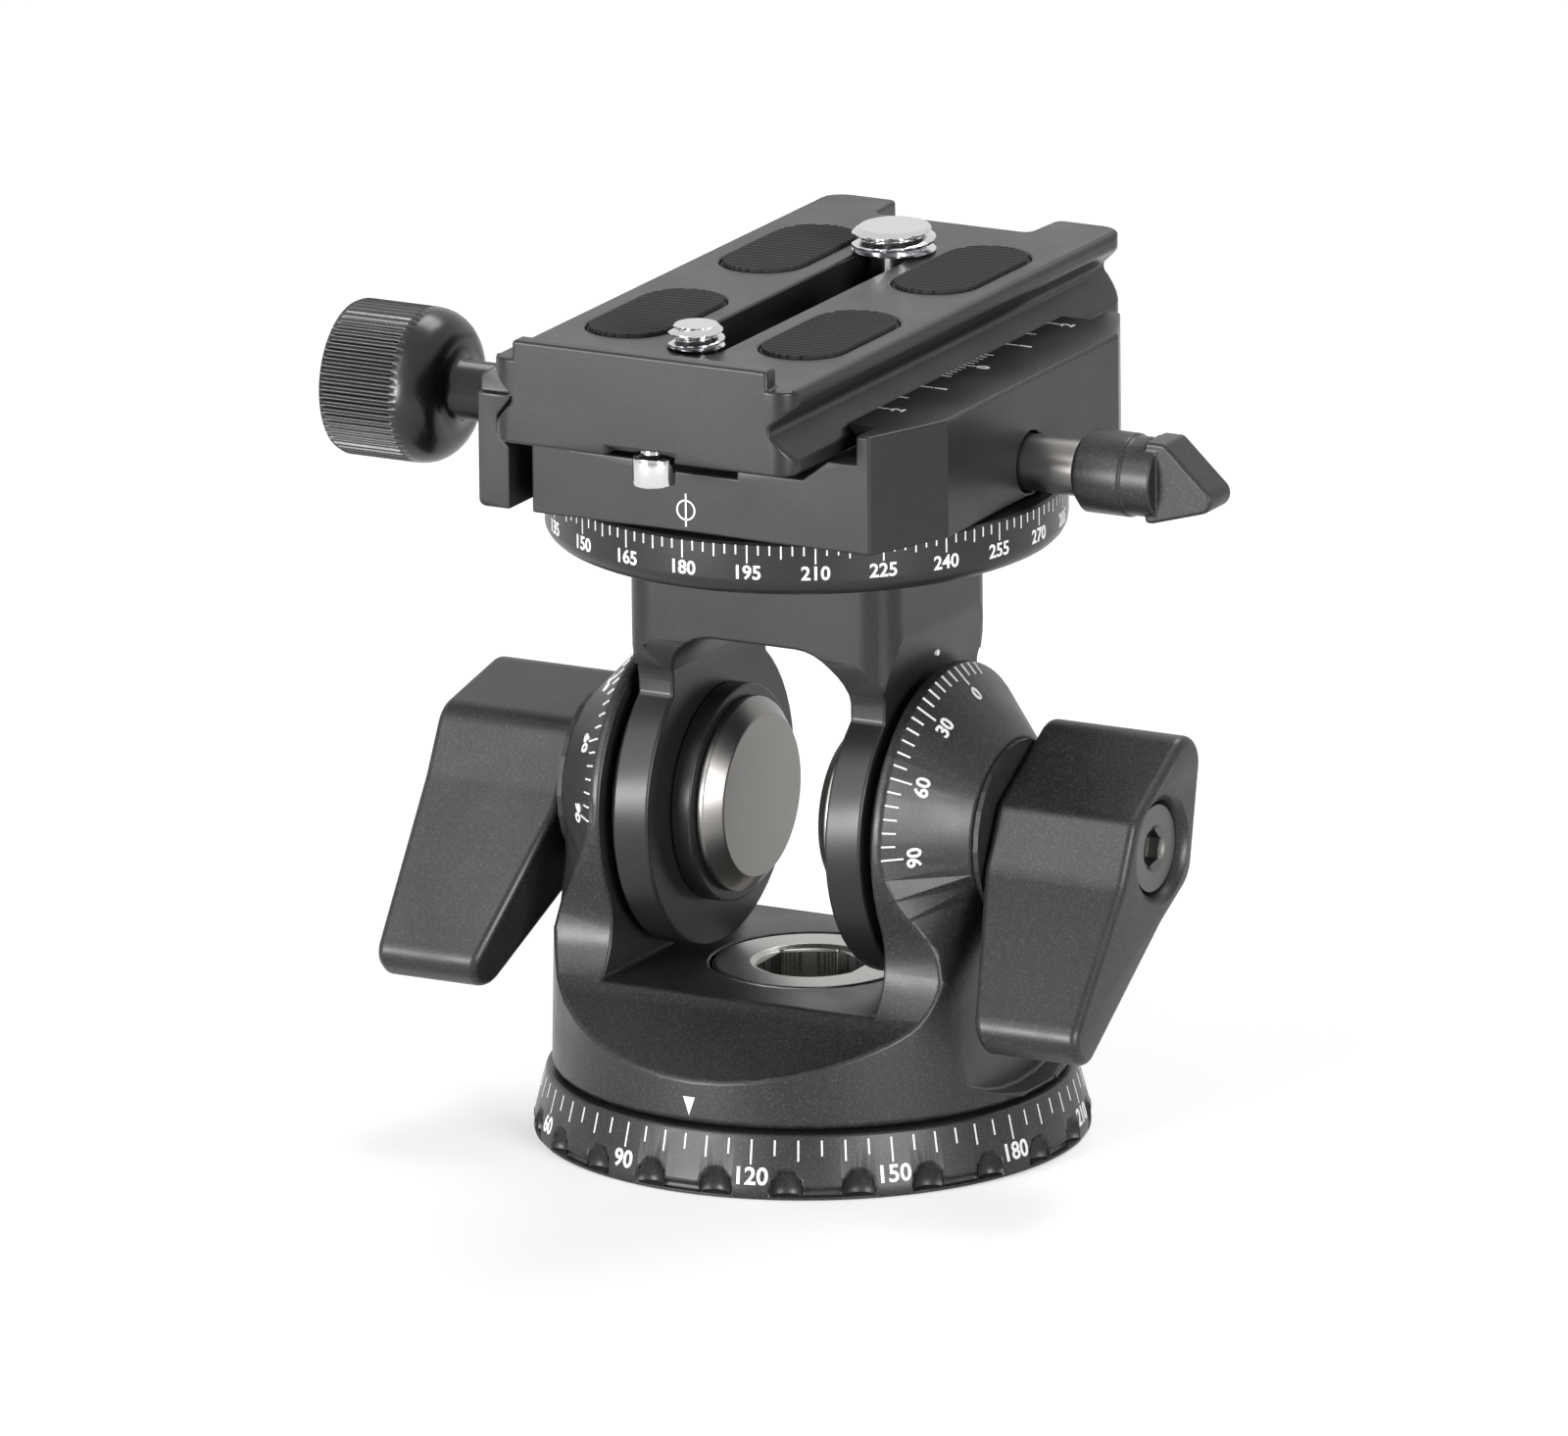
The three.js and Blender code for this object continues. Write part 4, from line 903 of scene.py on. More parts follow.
@dataclass
class Marks:
    """A set of ticks and numbers on one wall.

    Attributes:
        wall: The wall.
        sunk: How deep a mark reaches into the wall, in mm.
        proud: How far a mark stands off the wall, in mm.
        made: The marks so far.
    """

    wall: RoundWall | FlatWall
    sunk: float = 0.15
    proud: float = 0.05
    made: list[Mesh] = field(default_factory=list)

    def lay(self, mark: Mesh, station: float) -> None:
        """Lays a flat mark, drawn in mm round the origin, on the wall.

        Args:
            mark: The mark.
            station: Where on the wall.
        """
        for vertex in mark.data.vertices:
            along, up, out = vertex.co / MM
            vertex.co = self.wall.point(station, along, up, out)
        self.made.append(mark)

    def shape(self, station: float, outline: Sequence[Point]) -> None:
        """Adds a filled shape.

        Args:
            station: Where on the wall.
            outline: Its corners in reading and up direction, in mm.
        """
        self.lay(prism("mark", outline, -self.sunk, self.proud), station)

    def tick(self, station: float, width: float, foot: float, top: float) -> None:
        """Adds a line that runs up the wall.

        Args:
            station: Where on the wall.
            width: Its width.
            foot: Where it starts.
            top: Where it ends.
        """
        half = width / 2
        self.shape(station, [(half, foot), (half, top), (-half, top), (-half, foot)])

    def number(self, station: float, text: str, size: float, middle: float, weight: float = 0.02) -> None:
        """Adds plain figures.

        Args:
            station: Where on the wall.
            text: The figures.
            size: Letter size, in mm.
            middle: Height of their middle.
            weight: How much the strokes are thickened, as a share of the size.
        """
        drop_selection()
        bpy.ops.object.text_add(location=(0, 0, 0))
        mark = bpy.context.object
        words = mark.data
        words.body = text
        words.size = size * MM
        words.align_x = "CENTER"
        words.align_y = "CENTER"
        words.resolution_u = 3
        words.offset = weight * size * MM
        words.extrude = (self.sunk + self.proud) / 2 * MM
        bpy.ops.object.convert(target="MESH")
        mark = bpy.context.object
        lift = middle * MM
        for vertex in mark.data.vertices:
            vertex.co += Vector((0, lift, (self.proud - self.sunk) / 2 * MM))
        self.lay(mark, station)

    def finish(self, name: str, body: str) -> Mesh:
        """Joins the marks into one piece and seats it.

        Args:
            name: The piece's name.
            body: The body that it rides on.

        Returns:
            The piece.
        """
        piece = join(name, self.made)
        edit_all(piece)
        close_edit()
        return seat(piece, body, MARK_WHITE)


# Sub-assemblies


@dataclass
class BaseRing:
    """The flared ring at the foot, its grip notches, its scale and its washer."""

    foot_radius: float = 31.4
    foot_height: float = 1.5
    top_radius: float = 29.9
    height: float = 7.3
    bore: float = 8.3
    notch_count: int = 24
    foot_rim: float = 0.5
    notch_radius: float = 2
    notch_height: float = 3.8
    notch_depth: float = 1.35
    notch_shares: tuple[Point, ...] = ((1, 0.36), (0.93, 0.62), (0.7, 0.84), (0.4, 0.96), (0.1, 1))
    flat_width: float = 4.6
    flat_height: float = 1.4
    flat_depth: float = 0.6
    edge: float = 0.35
    overrun: float = 1
    front_reading: float = 105
    short_step: int = 5
    middle_step: int = 10
    long_step: int = 30
    tick_width: float = 0.2
    tick_top: float = 5.35
    short_foot: float = 3.6
    middle_foot: float = 3.0
    long_foot: float = 2.55
    figure_size: float = 2.75
    figure_middle: float = 1.15
    print_height: float = 0.04

    def skirt(self) -> Mesh:
        """Turns the ring and cuts its notches and flats.

        Returns:
            The ring.
        """
        ring = turned("ring_skirt", [
            (self.bore, 0),
            (self.foot_radius, 0),
            (self.foot_radius, self.foot_height),
            (self.top_radius, self.height),
            (self.bore, self.height),
        ], FINE_SIDES, hollow=True)
        pitch = FULL_TURN / self.notch_count
        rise = [(self.notch_radius * wide, self.notch_height * high) for wide, high in self.notch_shares]
        notch = turned("notch", [(self.notch_radius, self.foot_rim), *rise], SMALL_SIDES)
        half, near = self.flat_width / 2, self.foot_radius - self.flat_depth
        far = self.foot_radius + self.overrun
        flat = prism("flat", [(far, -half), (far, half), (near, half), (near, -half)],
                     self.foot_rim, self.flat_height)
        between = at(self.foot_radius - self.notch_depth + self.notch_radius, 0, 0)
        cuts = [(notch, (i + 0.5) * pitch, between) for i in range(self.notch_count)]
        cuts += [(flat, i * pitch, Matrix.Identity(4)) for i in range(0, self.notch_count, 2)]
        for pattern, station, place in cuts:
            cutter = put(spare(pattern, "cutter"), Matrix.Rotation(math.radians(station), 4, "Z") @ place)
            combine(ring, Boolean.CUT, cutter)
        clear_away(notch, flat)
        return seat(soften(split_faces(ring), self.edge, 2), "base", BLASTED, "base_ring")

    def scale(self) -> Mesh:
        """Draws the degree scale on the skirt.

        Returns:
            The marks.
        """
        lean = (self.top_radius - self.foot_radius, self.height - self.foot_height)
        wall = RoundWall(Matrix.Identity(4), self.foot_radius, self.foot_height, lean)
        marks = Marks(wall, proud=self.print_height)
        for reading in range(0, FULL_TURN, self.short_step):
            station = reading - self.front_reading + FRONT
            foot = self.short_foot
            if reading % self.long_step == 0:
                foot = self.long_foot
            elif reading % self.middle_step == 0:
                foot = self.middle_foot
            marks.tick(station, self.tick_width, foot, self.tick_top)
            if reading % self.long_step == 0:
                marks.number(station, str(reading), self.figure_size, self.figure_middle)
        return marks.finish("ring_scale", "base")

    def build(self) -> None:
        """Builds the ring and dresses its hidden washer."""
        self.skirt()
        self.scale()
        POLYMER.dress_nodes(["base_washer"])


@dataclass
class BaseBolt:
    """The steel bolt in the middle of the housing's floor."""

    top: float = 19
    foot: float = 0.9
    shank_radius: float = 8
    flange_radius: float = 11.2
    flange: float = 1.7
    chamfer: float = 0.4
    rim_radius: float = 6.8
    rim_depth: float = 0.5
    socket_across: float = 11
    socket_depth: float = 6.4
    bore_radius: float = 4.765
    bore_depth: float = 11.5
    overrun: float = 1
    edge: float = 0.12

    def build(self) -> None:
        """Turns the bolt and cuts its socket and its bore."""
        bolt = turned("centre_bolt", [
            (self.shank_radius, self.foot),
            (self.shank_radius, self.top - self.flange),
            (self.flange_radius, self.top - self.flange),
            (self.flange_radius, self.top - self.chamfer),
            (self.flange_radius - self.chamfer, self.top),
            (self.rim_radius, self.top),
            (self.rim_radius - self.rim_depth, self.top - self.rim_depth),
        ])
        socket = hex_socket(self.socket_across, self.top - self.socket_depth, self.top + self.overrun)
        ends = (-self.overrun, self.bore_depth)
        bore = turned("bore", [(self.bore_radius, height) for height in ends], SMALL_SIDES)
        combine(bolt, Boolean.CUT, socket, bore)
        seat(soften(bolt, self.edge, 2), "base", TURNED_STEEL, "base_bolt")


@dataclass
class Housing:
    """The fork that turns on the base, its index arrow and the tilt scales on its ears."""

    edge: float = 0.4
    drum_radius: float = 29.28
    arrow_top: float = 10.7
    arrow_foot: float = 8.6
    arrow_half_width: float = 0.72
    ear_rim_x: float = 18.5
    ear_rim_radius: float = 18.1
    tick_width: float = 0.19
    rim_gap: float = 0.15
    short_tick: float = 1.6
    long_tick: float = 2.6
    figure_size: float = 2.35
    figure_drop: float = 4.1
    first_reading: int = -15
    last_reading: int = 90
    short_step: int = 5
    long_step: int = 30
    scale_print: float = 0.05
    arrow_print: float = 0.06
    smooth: float = 60

    def ear_scale(self, name: str, side: int) -> Mesh:
        """Draws one tilt scale on the sloping rim of an ear.

        Args:
            name: The piece's name.
            side: 1 for the right ear and -1 for the left.

        Returns:
            The marks.
        """
        columns = Matrix(((0, 0, side), (0, -side, 0), (1, 0, 0))).to_4x4()
        axis = Matrix.Translation(Vector(TILT_CENTRE) * MM) @ columns
        wall = RoundWall(axis, self.ear_rim_radius, self.ear_rim_x, (1, -1), -1)
        marks = Marks(wall, proud=self.scale_print)
        for reading in range(self.first_reading, self.last_reading + 1, self.short_step):
            station = side * reading
            long = reading % self.long_step == 0
            length = self.long_tick if long else self.short_tick
            marks.tick(station, self.tick_width, -self.rim_gap - length, -self.rim_gap)
            if long:
                marks.number(station, str(reading), self.figure_size, -self.figure_drop)
        return marks.finish(name, "housing")

    def arrow(self) -> Mesh:
        """Draws the arrow that reads the base scale.

        Returns:
            The arrow.
        """
        marks = Marks(RoundWall(Matrix.Identity(4), self.drum_radius, 0), proud=self.arrow_print)
        half = self.arrow_half_width
        marks.shape(FRONT, [(half, self.arrow_top), (-half, self.arrow_top), (0, self.arrow_foot)])
        return marks.finish("housing_arrow", "housing")

    def build(self) -> None:
        """Builds the housing, its marks and its washers."""
        fork = copy_of("tilt_housing", "housing_fork")
        soften(fork, self.edge, angle=CAST_ANGLE, smooth=self.smooth)
        seat(fork, "housing", BLASTED, "tilt_housing")
        self.arrow()
        self.ear_scale("right_tilt_scale", 1)
        self.ear_scale("left_tilt_scale", -1)
        POLYMER.dress_nodes(["left_thrust_washer", "right_thrust_washer"])


@dataclass
class Yoke:
    """The part that tilts: arms and crossbar, pivot caps and rings."""

    edge: float = 0.4
    cap_face: float = 6
    cap_face_radius: float = 9.3
    cap_radius: float = 11.1
    cap_bevel: float = 1.7
    cap_rim: float = 0.8
    shank_radius: float = 5
    shank_end: float = 38
    ring_radius: float = 12.4
    ring_from: float = 8.6
    ring_to: float = 11.1
    ring_bore: float = 5.1
    fine_edge: float = 0.15
    dot_x: float = 16.5
    dot_z: float = 56.9
    dot_radius: float = 0.35
    dot_proud: float = 0.05

    def cap(self) -> Mesh:
        """Turns a pivot cap with its shank.

        Returns:
            The cap, facing -Z.
        """
        rim = self.cap_face + self.cap_bevel
        return turned("cap", [
            (self.cap_face_radius, self.cap_face),
            (self.cap_radius, rim),
            (self.cap_radius, rim + self.cap_rim),
            (self.shank_radius, rim + self.cap_rim),
            (self.shank_radius, self.shank_end),
        ])

    def ring(self) -> Mesh:
        """Turns the black ring that goes under a cap.

        Returns:
            The ring.
        """
        return turned("ring", [
            (self.ring_bore, self.ring_from),
            (self.ring_radius, self.ring_from),
            (self.ring_radius, self.ring_to),
            (self.ring_bore, self.ring_to),
        ], hollow=True)

    def build(self) -> None:
        """Builds the yoke, its caps, rings and dots, and dresses its washers."""
        arms = copy_of("tilt_yoke", "yoke_arms")
        seat(soften(arms, self.edge, angle=CAST_ANGLE, smooth=CAST_ANGLE), "yoke", SATIN, "tilt_yoke")
        cap, ring = self.cap(), self.ring()
        ends = (-self.dot_radius, self.dot_proud)
        dot = turned("dot", [(self.dot_radius, height) for height in ends], SMALL_SIDES)
        for side, axis, sign in (("right", Axis.RIGHT, 1), ("left", Axis.LEFT, -1)):
            place = at(*TILT_CENTRE, axis)
            shown = put(spare(cap, f"{side}_cap"), place)
            seat(soften(shown, self.fine_edge), "yoke", BRUSHED_STEEL, f"{side}_pivot_bolt")
            shown = put(spare(ring, f"{side}_cap_ring"), place)
            seat(soften(shown, 2 * self.fine_edge), "yoke", SATIN, f"{side}_boss_ring")
            shown = put(spare(dot, f"{side}_dot"), at(sign * self.dot_x, 0, self.dot_z, axis))
            seat(shown, "yoke", MARK_WHITE)
        clear_away(cap, ring, dot)
        POLYMER.dress_nodes(["left_friction_washer", "right_friction_washer"])


@dataclass
class WingKnobs:
    """The two wing knobs with their screws: one casting, turned end for end.

    Attributes:
        tails: The side, its direction and the angle of the wing's tail about the tilt axis.
    """

    tails: tuple[tuple[str, Axis, float], ...] = (("right", Axis.RIGHT, 223.6), ("left", Axis.LEFT, 226))
    hub_x: float = 27
    height: float = 17.65
    reach: float = 28
    slant_start: float = 8
    slant: float = 0.25
    edge: float = 1.0
    corner_step: float = 6
    smooth: float = 38
    recess_radius: float = 5.57
    recess_depth: float = 3.55
    rim_radius: float = 6.35
    rim: float = 0.6
    screw_radius: float = 5
    screw_drop: float = 0.95
    screw_head: float = 2.5
    screw_shank: float = 3
    screw_length: float = 10.5
    sink_radius: float = 2.7
    sink_depth: float = 0.5
    socket_across: float = 4
    socket_depth: float = 1.9
    overrun: float = 2
    fine_edge: float = 0.18
    outline_shares: tuple[tuple[float, float, float], ...] = (
        (-0.654, -0.111, 0.125),
        (0.05, -0.279, 0.09),
        (0.296, -0.186, 0.28),
        (1, -0.096, 0.1),
        (1, 0.093, 0.09),
        (0.214, 0.225, 0.36),
        (-0.061, 0.304, 0.143),
    )

    def place(self, axis: Axis, tail: float) -> Matrix:
        """Finds where a knob goes: hub face outward of the ear, tail down and forward.

        Args:
            axis: Its outward direction.
            tail: The angle of its tail.

        Returns:
            The place, in metres.
        """
        outward = Vector((1 if axis is Axis.RIGHT else -1, 0, 0))
        angle = math.radians(tail)
        along = Vector((0, math.cos(angle), math.sin(angle)))
        turn = Matrix((along, outward.cross(along), outward)).transposed().to_4x4()
        return Matrix.Translation((outward * self.hub_x + Vector(TILT_CENTRE)) * MM) @ turn

    def wing(self) -> Mesh:
        """Draws out the wing, slants its inner face and sinks the screw's recess.

        Returns:
            The wing, with its hub on +Z.
        """
        corners = [tuple(share * self.reach for share in corner) for corner in self.outline_shares]
        wing = prism("wing", rounded(corners, self.corner_step), 0, self.height)
        edit_all(wing, "FACE")
        bpy.ops.mesh.bisect(
            plane_co=(self.slant_start * MM, 0, 0),
            plane_no=(-self.slant, 0, 1),
            use_fill=True,
            clear_inner=True,
        )
        close_edit()
        soften(wing, self.edge, 5)
        top = self.height
        recess = turned("recess", [
            (self.recess_radius, top - self.recess_depth),
            (self.recess_radius, top - self.rim),
            (self.rim_radius, top),
            (self.rim_radius, top + self.overrun),
        ])
        return combine(wing, Boolean.CUT, recess)

    def screw(self) -> Mesh:
        """Turns the socket screw.

        Returns:
            The screw, on +Z.
        """
        top = self.height - self.screw_drop
        foot = top - self.screw_head
        screw = turned("screw", [
            (self.screw_shank, foot - self.screw_length),
            (self.screw_shank, foot),
            (self.screw_radius, foot),
            (self.screw_radius, top),
            (self.sink_radius, top),
            (self.sink_radius - self.sink_depth, top - self.sink_depth),
        ])
        socket = hex_socket(self.socket_across, top - self.socket_depth, top + self.overrun)
        return combine(screw, Boolean.CUT, socket)

    def build(self) -> None:
        """Makes the casting and the screw once and fits them on both sides."""
        wing, screw = self.wing(), self.screw()
        for side, axis, tail in self.tails:
            place = self.place(axis, tail)
            shown = put(spare(wing, f"{side}_wing"), place)
            bpy.ops.object.shade_smooth_by_angle(angle=math.radians(self.smooth))
            seat(shown, f"{side}_knob", BLASTED, f"{side}_wing_knob")
            shown = put(spare(screw, f"{side}_wing_screw"), place)
            seat(soften(shown, self.fine_edge, 2), f"{side}_knob", DULL_STEEL, f"{side}_knob_screw")
        clear_away(wing, screw)


@dataclass
class PanDisc:
    """The degree disc under the clamp, with its spindle."""

    radius: float = 29.4
    low: float = 69.2
    top: float = 75.5
    round_width: float = 2.2
    round_height: float = 2.1
    round_steps: int = 5
    edge: float = 0.3
    spindle_radius: float = 8
    spindle_top: float = 82
    front_reading: float = 180
    short_step: float = 2.5
    middle_step: float = 7.5
    long_step: float = 15
    tick_width: float = 0.17
    short_foot: float = 74.15
    middle_foot: float = 73.75
    long_foot: float = 73.2
    tick_top: float = 75.25
    figure_size: float = 2.2
    figure_middle: float = 72.05
    print_height: float = 0.04

    def build(self) -> None:
        """Builds the disc and its scale, and dresses what holds the clamp on it."""
        curve = []
        for i in range(self.round_steps + 1):
            angle = math.pi / 2 * i / self.round_steps
            curve.append((self.radius - self.round_width * (1 - math.sin(angle)),
                          self.low + self.round_height * (1 - math.cos(angle))))
        disc = turned("scale_disc", [
            *curve,
            (self.radius, self.top - self.edge),
            (self.radius - self.edge, self.top),
            (self.spindle_radius, self.top),
            (self.spindle_radius, self.spindle_top),
        ], FINE_SIDES)
        seat(soften(disc, 0), "yoke", SATIN, "pan_disc")
        marks = Marks(RoundWall(Matrix.Identity(4), self.radius, 0), proud=self.print_height)
        for i in range(round(FULL_TURN / self.short_step)):
            reading = i * self.short_step
            station = reading - self.front_reading + FRONT
            foot = self.short_foot
            if reading % self.long_step == 0:
                foot = self.long_foot
                marks.number(station, str(round(reading)), self.figure_size, self.figure_middle)
            elif reading % self.middle_step == 0:
                foot = self.middle_foot
            marks.tick(station, self.tick_width, foot, self.tick_top)
        marks.finish("disc_scale", "yoke")
        POLYMER.dress_nodes(["pan_washer"])
        PLAIN_STEEL.dress_nodes(["pan_retainer", "pan_bolt"])


@dataclass
class Clamp:
    """The clamp body and its moving jaw, with the index and the plain ruler on the fixed jaw."""

    edge: float = 0.3
    index_y: float = -28.4
    index_z: float = 78.4
    index_radius: float = 1.2
    index_height: float = 1.9
    index_print: float = 0.04
    line: float = 0.2
    ruler_z: float = 89.4
    ruler_x: float = 17.95
    ruler_zero: float = 4.0
    centimetre: float = 10.2
    long_mark: float = 1.5
    half_mark: float = 1.1
    fine_mark: float = 0.8
    fine_share: float = 0.8
    half_steps: int = 5
    fine_steps: int = 4
    ruler_figure: float = 2.2
    figure_offset: float = 2.55
    ruler_print: float = 0.03
    ridge_x: Point = (17.5, 18.3)
    ridge_z: Point = (89.1, 89.8)
    notch_ends: tuple[Point, ...] = ((-29.4, -24.2), (28, 33.2))

    def index(self) -> Mesh:
        """Draws the crossed circle on the front.

        Returns:
            The marks.
        """
        wall = FlatWall((0, self.index_y, self.index_z), (1, 0, 0), (0, 0, 1))
        marks = Marks(wall, proud=self.index_print)
        marks.tick(0, self.line, -self.index_height, self.index_height)
        ring = turned("mark", [
            (self.index_radius - self.line, -marks.sunk),
            (self.index_radius, -marks.sunk),
            (self.index_radius, marks.proud),
            (self.index_radius - self.line, marks.proud),
        ], SMALL_SIDES, hollow=True)
        marks.lay(ring, 0)
        return marks.finish("clamp_index", "clamp")

    def ruler(self) -> Mesh:
        """Draws the ruler along the top of the fixed jaw.

        Returns:
            The marks.
        """
        wall = FlatWall((self.ruler_x, self.ruler_zero, self.ruler_z), (0, 1, 0), (-1, 0, 0))
        marks = Marks(wall, proud=self.ruler_print)
        for step in range(1 - self.half_steps, self.half_steps):
            place = step * self.centimetre / 2
            if step % 2 == 0:
                marks.tick(place, self.line, -self.long_mark, 0)
                marks.number(place, str(abs(step) // 2), self.ruler_figure, -self.figure_offset)
            else:
                marks.tick(place, self.line, -self.half_mark, 0)
        for step in range(-self.fine_steps, self.fine_steps + 1):
            if step:
                marks.tick(step * self.centimetre / 10, self.line * self.fine_share, -self.fine_mark, 0)
        return marks.finish("clamp_ruler", "clamp")

    def block(self) -> Mesh:
        """Copies the body and cuts off the ridges that its end notches leave on the fixed jaw.

        Returns:
            The body.
        """
        body = copy_of("clamp_body", "clamp_block")
        near, far = self.ridge_x
        for front, rear in self.notch_ends:
            corners = [(near, front), (far, front), (far, rear), (near, rear)]
            combine(body, Boolean.CUT, prism("ridge", corners, *self.ridge_z))
        return flat_faces(body)

    def build(self) -> None:
        """Builds the body, the jaw and the marks, and dresses the pins and the shoe."""
        seat(soften(self.block(), self.edge, 3, CAST_ANGLE, CAST_ANGLE), "clamp", SATIN, "clamp_body")
        jaw = copy_of("moving_jaw", "jaw_bar")
        seat(soften(jaw, self.edge, 2, CAST_ANGLE, CAST_ANGLE), "jaw", SATIN, "moving_jaw")
        self.index()
        self.ruler()
        PLAIN_STEEL.dress_nodes(["front_guide_pin", "rear_guide_pin", "brake_shoe"])


@dataclass
class ClampKnob:
    """The ribbed knob that draws the jaw in."""

    y: float = 2.2
    z: float = 79.75
    outer: float = 59
    inner: float = 45.2
    neck_end: float = 34.7
    radius: float = 8.9
    neck_radius: float = 3.4
    neck_round: float = 0.6
    neck_chamfer: float = 0.3
    rib_count: int = 60
    sides_per_rib: int = 10
    rib_depth: float = 0.42
    rib_flat: float = 0.6
    rib_start: float = 0.4
    rib_margin: float = 0.5
    outer_round: float = 0.9
    outer_knee: float = 0.3
    shoulder_length: float = 4.2
    shoulder_drop: float = 3.6
    shoulder_steps: int = 8
    smooth: float = 50
    bore_radius: float = 2.6
    bore_depth: float = 7.3
    face_dish: float = 0.25
    face_radius: float = 6.6

    def ribbed(self, knob: Mesh) -> None:
        """Presses the ribs into the drum, fading out towards both rounds.

        Args:
            knob: The knob, with its neck along +Z.
        """
        start = -self.outer + self.outer_round * self.rib_start
        end = -self.inner - self.shoulder_length
        for vertex in knob.data.vertices:
            x, y, z = vertex.co / MM
            radius = math.hypot(x, y)
            if radius < self.radius - self.outer_round or not start <= z <= end:
                continue
            wave = math.cos(math.atan2(y, x) * self.rib_count)
            depth = self.rib_depth * (1 - max(-self.rib_flat, min(self.rib_flat, wave)) / self.rib_flat) / 2
            share = (radius - depth) / radius
            vertex.co = Vector((x * share, y * share, z)) * MM

    def build(self) -> None:
        """Turns the knob, ribs it and bores it, and dresses its screw and washer."""
        outer, inner = -self.outer, -self.inner
        knee = self.outer_round * self.outer_knee
        stations = [
            (self.face_radius - self.face_dish, outer + self.face_dish),
            (self.face_radius, outer),
            (self.radius - self.outer_round, outer),
            (self.radius - knee, outer + knee),
            (self.radius, outer + self.outer_round),
            (self.radius, inner - self.shoulder_length - self.rib_margin),
            (self.radius, inner - self.shoulder_length),
        ]
        for i in range(1, self.shoulder_steps + 1):
            angle = math.pi / 2 * i / self.shoulder_steps
            stations.append((self.radius - self.shoulder_drop * (1 - math.cos(angle)),
                             inner - self.shoulder_length * (1 - math.sin(angle))))
        stations += [
            (self.neck_radius + self.neck_round, inner),
            (self.neck_radius, inner + self.neck_round),
            (self.neck_radius, -self.neck_end - self.neck_chamfer),
            (self.neck_radius - self.neck_chamfer, -self.neck_end),
        ]
        knob = turned("ribbed_knob", stations, self.rib_count * self.sides_per_rib)
        self.ribbed(knob)
        ends = (inner - self.bore_depth, 0)
        bore = turned("bore", [(self.bore_radius, height) for height in ends], SMALL_SIDES)
        combine(knob, Boolean.CUT, bore)
        put(knob, at(0, self.y, self.z, Axis.RIGHT))
        soften(knob, 0, smooth=self.smooth)
        seat(knob, "jaw_knob", KNOB_SATIN, "clamp_knob")
        PLAIN_STEEL.dress_nodes(["clamp_screw"])
        POLYMER.dress_nodes(["clamp_washer"])


@dataclass
class PanLock:
    """The steel stud and the pointer knob that lock the clamp's turn."""

    y: float = 2.2
    z: float = 79.75
    stud_radius: float = 3.2
    stud_from: float = 24
    stud_to: float = 38.3
    stud_edge: float = 0.15
    thread_radius: float = 2.4
    thread_from: float = 12.6
    body_from: float = 34.3
    body_to: float = 40.5
    body_radius: float = 4.75
    body_chamfer: float = 0.9
    body_edge: float = 0.25
    edge_angle: float = 50
    step_radius: float = 4.5
    step_length: float = 0.15
    step_overlap: float = 0.6
    wing_x: float = 43.7
    wing_root: float = 0.9
    wing_length: float = 9
    wing_half: float = 4.7
    front_radius: float = 0.5
    tip_drop: float = 2.1
    tip_radius: float = 1.6
    heel: float = 1.7
    heel_radius: float = 0.9
    half_thickness: float = 2.6
    edge: float = 0.45

    def build(self) -> None:
        """Builds the stud and the knob."""
        stud = turned("lock_stud", [
            (self.thread_radius, self.thread_from),
            (self.thread_radius, self.stud_from),
            (self.stud_radius, self.stud_from),
            (self.stud_radius, self.stud_to),
        ])
        put(stud, at(0, self.y, self.z, Axis.RIGHT))
        seat(soften(stud, self.stud_edge, 2), "pan_lock", BRUSHED_STEEL, "pan_lock_stud")
        body = turned("lock_pointer", [
            (self.body_radius - self.body_chamfer, self.body_from),
            (self.body_radius, self.body_from + self.body_chamfer),
            (self.body_radius, self.body_to),
            (self.step_radius, self.body_to + self.step_length),
            (self.step_radius, self.wing_x + self.step_overlap),
        ])
        put(body, at(0, self.y, self.z, Axis.RIGHT))
        tip = prism("tip", rounded([
            (self.wing_x - self.wing_root, -self.wing_half),
            (self.wing_x, -self.wing_half, self.front_radius),
            (self.wing_x + self.wing_length, -self.tip_drop, self.tip_radius),
            (self.wing_x + self.heel, self.wing_half, self.heel_radius),
            (self.wing_x - self.wing_root, self.wing_half),
        ]), -self.half_thickness, self.half_thickness)
        soften(tip, self.edge)
        put(tip, at(0, self.y, self.z) @ Matrix.Rotation(math.pi / 2, 4, "X"))
        combine(body, Boolean.JOIN, tip)
        seat(soften(body, self.body_edge, 2, self.edge_angle), "pan_lock", BLASTED, "pan_lock_knob")


